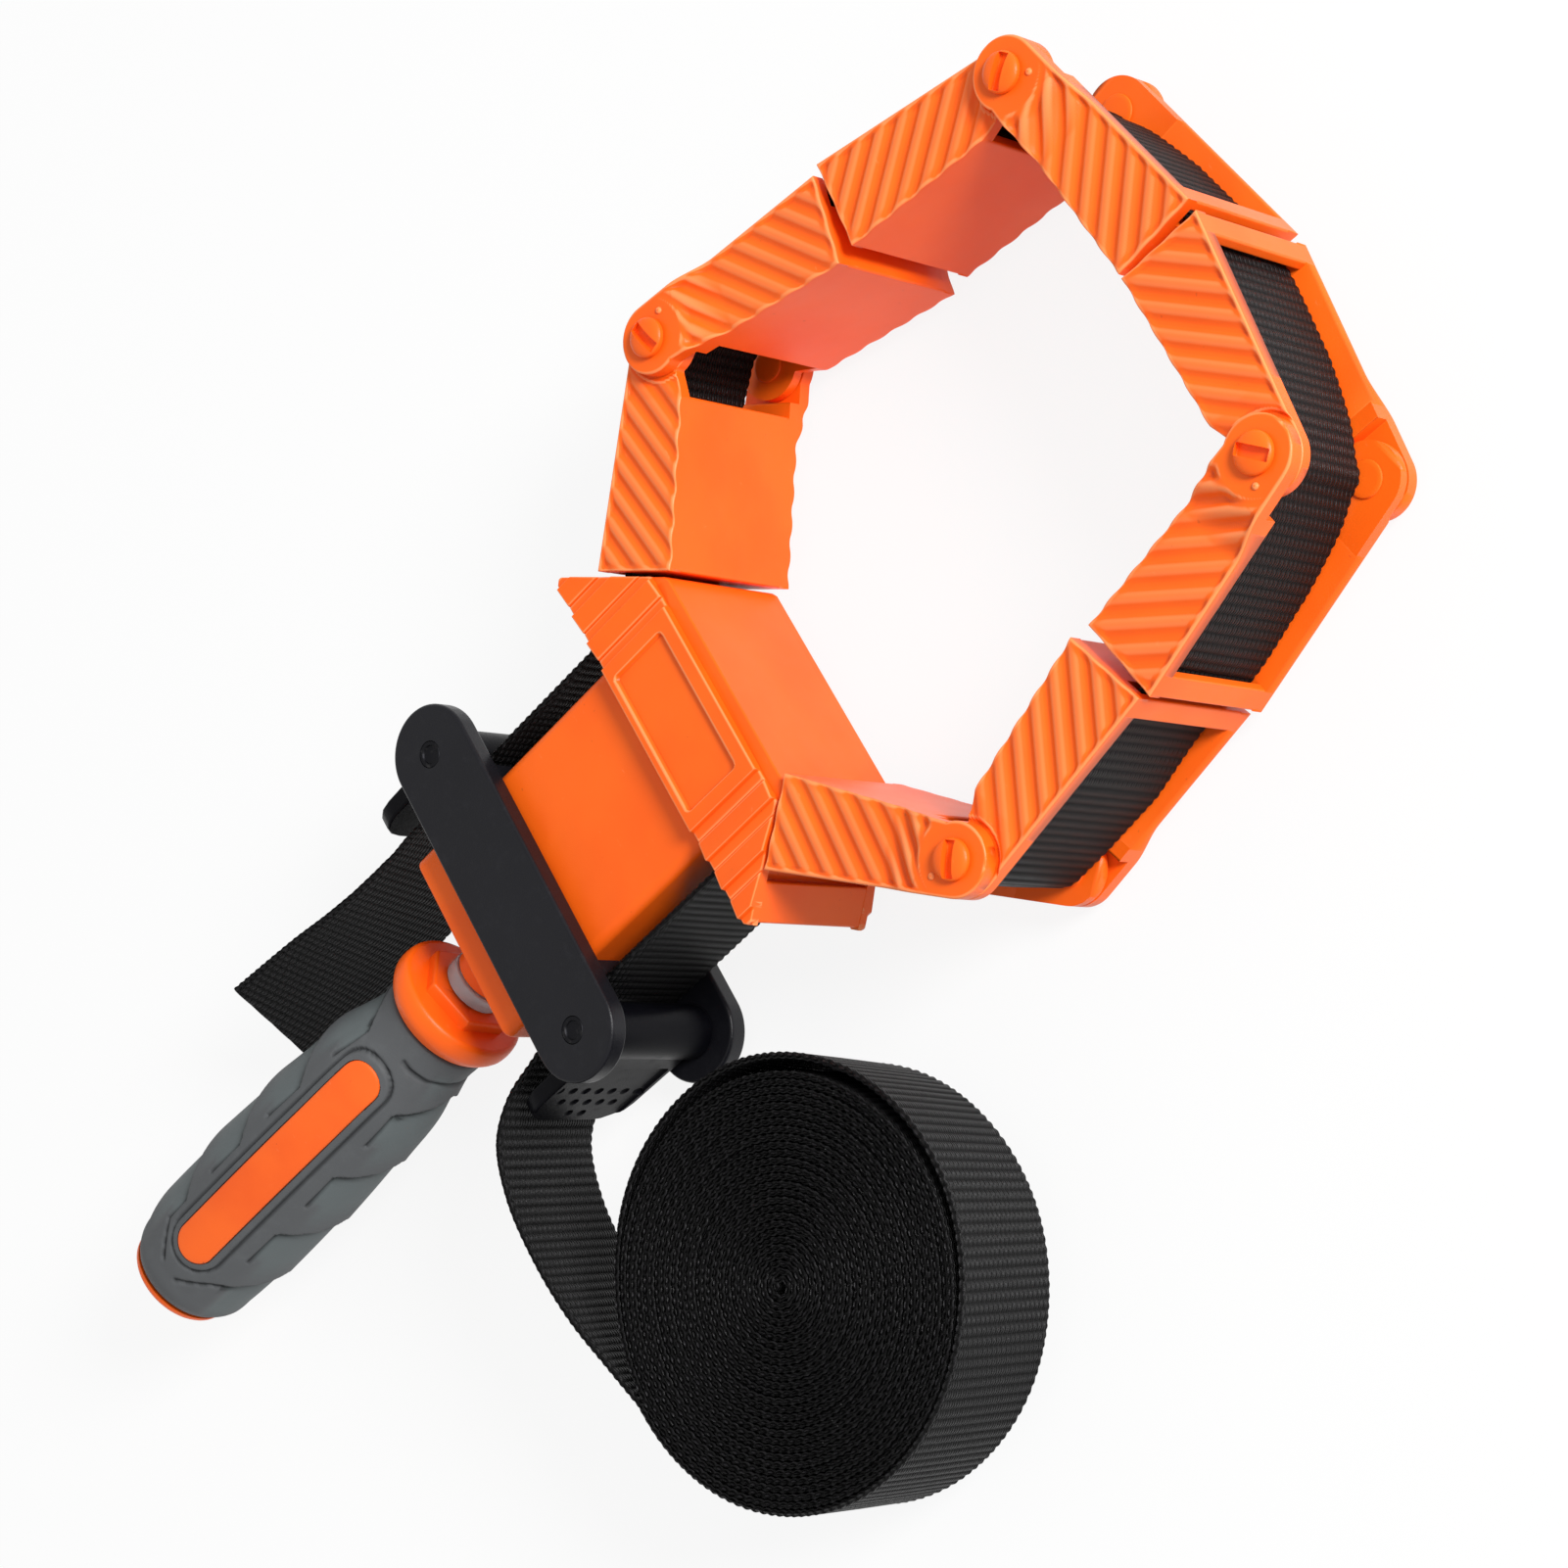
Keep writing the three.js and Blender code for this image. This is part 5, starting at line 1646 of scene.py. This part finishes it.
def bend_ends(pair):
    """Where a length of webbing starts and ends its bend, on the left side of the ring."""
    if pair == ("head", "carriage"):
        return wing_mid - np.array([0, 1.0]), cam_start + np.array([0, 4.0])
    joint, reach = BENDS[pair]
    hinge = np.array(JOINTS[joint]["pos_m"][:2]) / MM
    heading = LINKS[pair[0]]["direction"]
    if joint.startswith("flex"):
        heading = unit(heading - LINKS[pair[1]]["direction"])
    elif joint.startswith("hinge"):
        heading = unit(LINKS[pair[1]]["direction"] - heading)
    return hinge - heading * reach, hinge + heading * reach


def blended(thing, pair, side_name):
    left = side_name == "left"
    start, end = (point * np.array([1 if left else -1, 1]) for point in bend_ends(pair))
    links = {key: "link_" + (key if left else RIGHT_OF[key]) for key in RIGHT_OF}
    place3(start)
    place3(end)
    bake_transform(thing)


ran = 0.0
for name, line, pair, nodes in ring_pieces:
    for side_name, node in zip(("left", "right"), nodes):
        shown = line if side_name == "left" else line * np.array([-1, 1])
        length_of, length = strip_object(f"{name}_{side_name}", shown, ran, relief=0.24)
        dress_webbing(length_of, node, length)
        if pair is None:
            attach(length_of, BODY_OF[node])
        else:
            blended(length_of, pair, side_name)
    ran += length
print(f"from the top of the ring to a cam: {ran:.0f} mm")

# %% [markdown]
# The free tail hangs down from the left cam and is cut off at a slant. The feed leaves the right cam and
# curves over to the roll. Both are shaped from places taken outwards and down from their cams.

# %% Tail and feed
TAIL_ROUTE = [
    (0.1, 7.4), (0.1, 12), (-0.5, 19), (-1.05, 26), (-0.8, 36), (-0.4, 45), (0.4, 54.4), (1.3, 70.8),
    (1.8, 80.3),
]
FEED_ROUTE = [
    (0.3, 7.4), (2, 15.4), (4, 23.4), (8.8, 30), (18.3, 33.6), (30.8, 34.4), (43.3, 33.2), (54.8, 30.4)
]
TAIL_CUT = 8.6
TAIL_LEAN = ((0, 10, 18, 26, 36, 54, 71, 84), (0, 0, 1.8, 3.15, 3.2, 4.6, 5.7, 6.4))
TAIL_SWAY = -2.0


def from_cam(side, route):
    """Places given as distances outwards and down from a cam, after the place where the webbing leaves it."""
    places = [(side * (WEB_RUN_X + out), CAM_Y - down) for out, down in [(0, 0), *route]]
    return [np.array(place) for place in places]


def tail_lean(at):
    return np.interp(at, *TAIL_LEAN)


def tail_sway(along):
    return TAIL_SWAY * smooth_step(along - ran, 12, 26)


tail_line = smooth_line(from_cam(-1, TAIL_ROUTE))
tail, tail_length = strip_object("webbing_tail", tail_line, ran, sway=tail_sway, lean=tail_lean, relief=0.18)
tail_end = tail_line[-1]
tail_heading = unit(tail_line[-1] - tail_line[-8])
across_cut = Vector((*(-tail_heading * TAIL_CUT), 2 * HALF_WIDTH))
surface = Vector((*left_of(tail_heading), 0))
cut_normal = surface.cross(across_cut).normalized()
if cut_normal.dot(Vector((*tail_heading, 0))) < 0:
    cut_normal = -cut_normal
net = bmesh.new()
net.from_mesh(tail.data)
bmesh.ops.bisect_plane(
    net, geom=[*net.verts, *net.edges, *net.faces], dist=1e-7, clear_outer=True,
    plane_co=Vector((*(tail_end * MM), -HALF_WIDTH * MM)),
    plane_no=cut_normal,
)
open_edges = [edge for edge in net.edges if edge.is_boundary]
bmesh.ops.contextual_create(net, geom=open_edges)
net.to_mesh(tail.data)
net.free()
tail.data.set_sharp_from_angle(angle=math.radians(60))
dress_webbing(tail, "strap_tail", tail_length - TAIL_CUT / 2)
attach(tail, "carriage")

ROLL_CENTRE = np.array([WEB_RUN_X + 64.7, CAM_Y + 9.4])
ROLL_OUTER = 37.8 - WEB_HALF
roll_start = ROLL_CENTRE + np.array([0, -ROLL_OUTER])
feed_line = smooth_line([*from_cam(1, FEED_ROUTE), roll_start])
feed, feed_length = strip_object("webbing_feed", feed_line, ran)
dress_webbing(feed, "strap_feed", feed_length)
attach(feed, "carriage")

# %% [markdown]
# The rest of the four metres is wound into a tight roll. Its turns lie a hair apart and slide a little
# over each other, so the face of the roll isn't flat, and the outermost turn has come a bit loose over the
# top.

# %% Roll
ROLL_PITCH = 1.3
ROLL_TURNS = 28


def looseness(degrees):
    return smooth_step(degrees, 25, 105) * (1 - smooth_step(degrees, 150, 265))


def roll_line():
    turns = np.linspace(0, ROLL_TURNS, ROLL_TURNS * 720 + 1)
    angle = 2 * math.pi * turns - math.pi / 2
    reach = ROLL_OUTER - ROLL_PITCH * turns + 1.0 * looseness(np.degrees(angle))
    return ROLL_CENTRE + reach[:, None] * np.column_stack([np.cos(angle), np.sin(angle)])


def roll_lean(at):
    return 0.9 * looseness(np.degrees(at / ROLL_OUTER) - 90)


def roll_sway(along):
    slow = 0.07 * np.sin(along / 31.0) + 0.1 * np.sin(along / 5.3 + 1.3) + 0.07 * np.sin(along / 83.0 + 0.4)
    return slow * smooth_step(along, ran + feed_length, ran + feed_length + 60)


roll, roll_length = strip_object(
    "webbing_roll", roll_line(), ran + feed_length, (11.3, 12.1), roll_sway, roll_lean, True
)
dress_webbing(roll, "strap_roll", roll_length)
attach(roll, "carriage")
whole = 2 * ran + tail_length + feed_length + roll_length
print(f"webbing in all: {whole / 1000:.2f} m")

# %% [markdown]
# The clamp lies on a pale floor. The floor looks nearly white to the camera, and also in gloss and through
# the clear washer, but it keeps the clamp's soft shadow. For all other light it is a plain pale surface.

# %% Floor and world
FLOOR_GLOW = 0.88
FLOOR_REACH = 6.0


def floor_finish():
    finish = Finish("pale floor", Base_Color=(0.86, 0.86, 0.86, 1), Roughness=0.9, Specular_IOR_Level=0.1)
    camera_ray = finish.node("ShaderNodeLightPath", out="Is Camera Ray")
    seen = camera_ray + camera_ray.output("Is Glossy Ray") + camera_ray.output("Is Transmission Ray")
    settings = {"operation": "MULTIPLY", "use_clamp": True}
    share = finish.node("ShaderNodeMath", settings, {0: seen, 1: FLOOR_GLOW})
    plain = Value(finish, finish.shader.outputs[0])
    glow = finish.node("ShaderNodeEmission")
    mixed = finish.node("ShaderNodeMixShader", None, {0: share, 1: plain, 2: glow})
    finish.feed(finish.nodes["Material Output"].inputs["Surface"], mixed)
    return finish.material


corners = [(x * FLOOR_REACH, y * FLOOR_REACH, 0) for x, y in ((-1, -1), (1, -1), (1, 1), (-1, 1))]
floor_mesh = bpy.data.meshes.new("floor")
floor_mesh.from_pydata(corners, [], [(0, 1, 2, 3)])
floor = in_scene("floor", floor_mesh)
floor.location.z = cad_box[0][2] - 0.0001
floor.data.materials.append(floor_finish())

ROOM_STRENGTH = 0.58
world = bpy.data.worlds.new("room")
bpy.context.scene.world = world
world.use_nodes = True
sky = world.node_tree.nodes["Background"]
sky.inputs["Color"].default_value = (1, 1, 1, 1)
sky.inputs["Strength"].default_value = ROOM_STRENGTH
print("floor at z", round(floor.location.z, 4))

# %% [markdown]
# One soft lamp and a white room light the clamp. The lamp stands over the ring, so the head's pressing
# face is the brightest orange and the sides that face the handle fall into shade.

# %% Lamp
def lamp(name, place, aim, size, energy):
    light = bpy.data.lights.new(name, "AREA")
    light.shape = "DISK"
    light.size = size
    light.energy = energy
    thing = in_scene(name, light)
    thing.location = place
    thing.rotation_euler = (Vector(aim) - Vector(place)).to_track_quat("-Z", "Y").to_euler()


lamp("main lamp", place=(0.34, 1.08, 0.62), aim=(0.02, -0.03, 0), size=0.45, energy=18.4)
bpy.context.scene.view_settings.view_transform = "Standard"
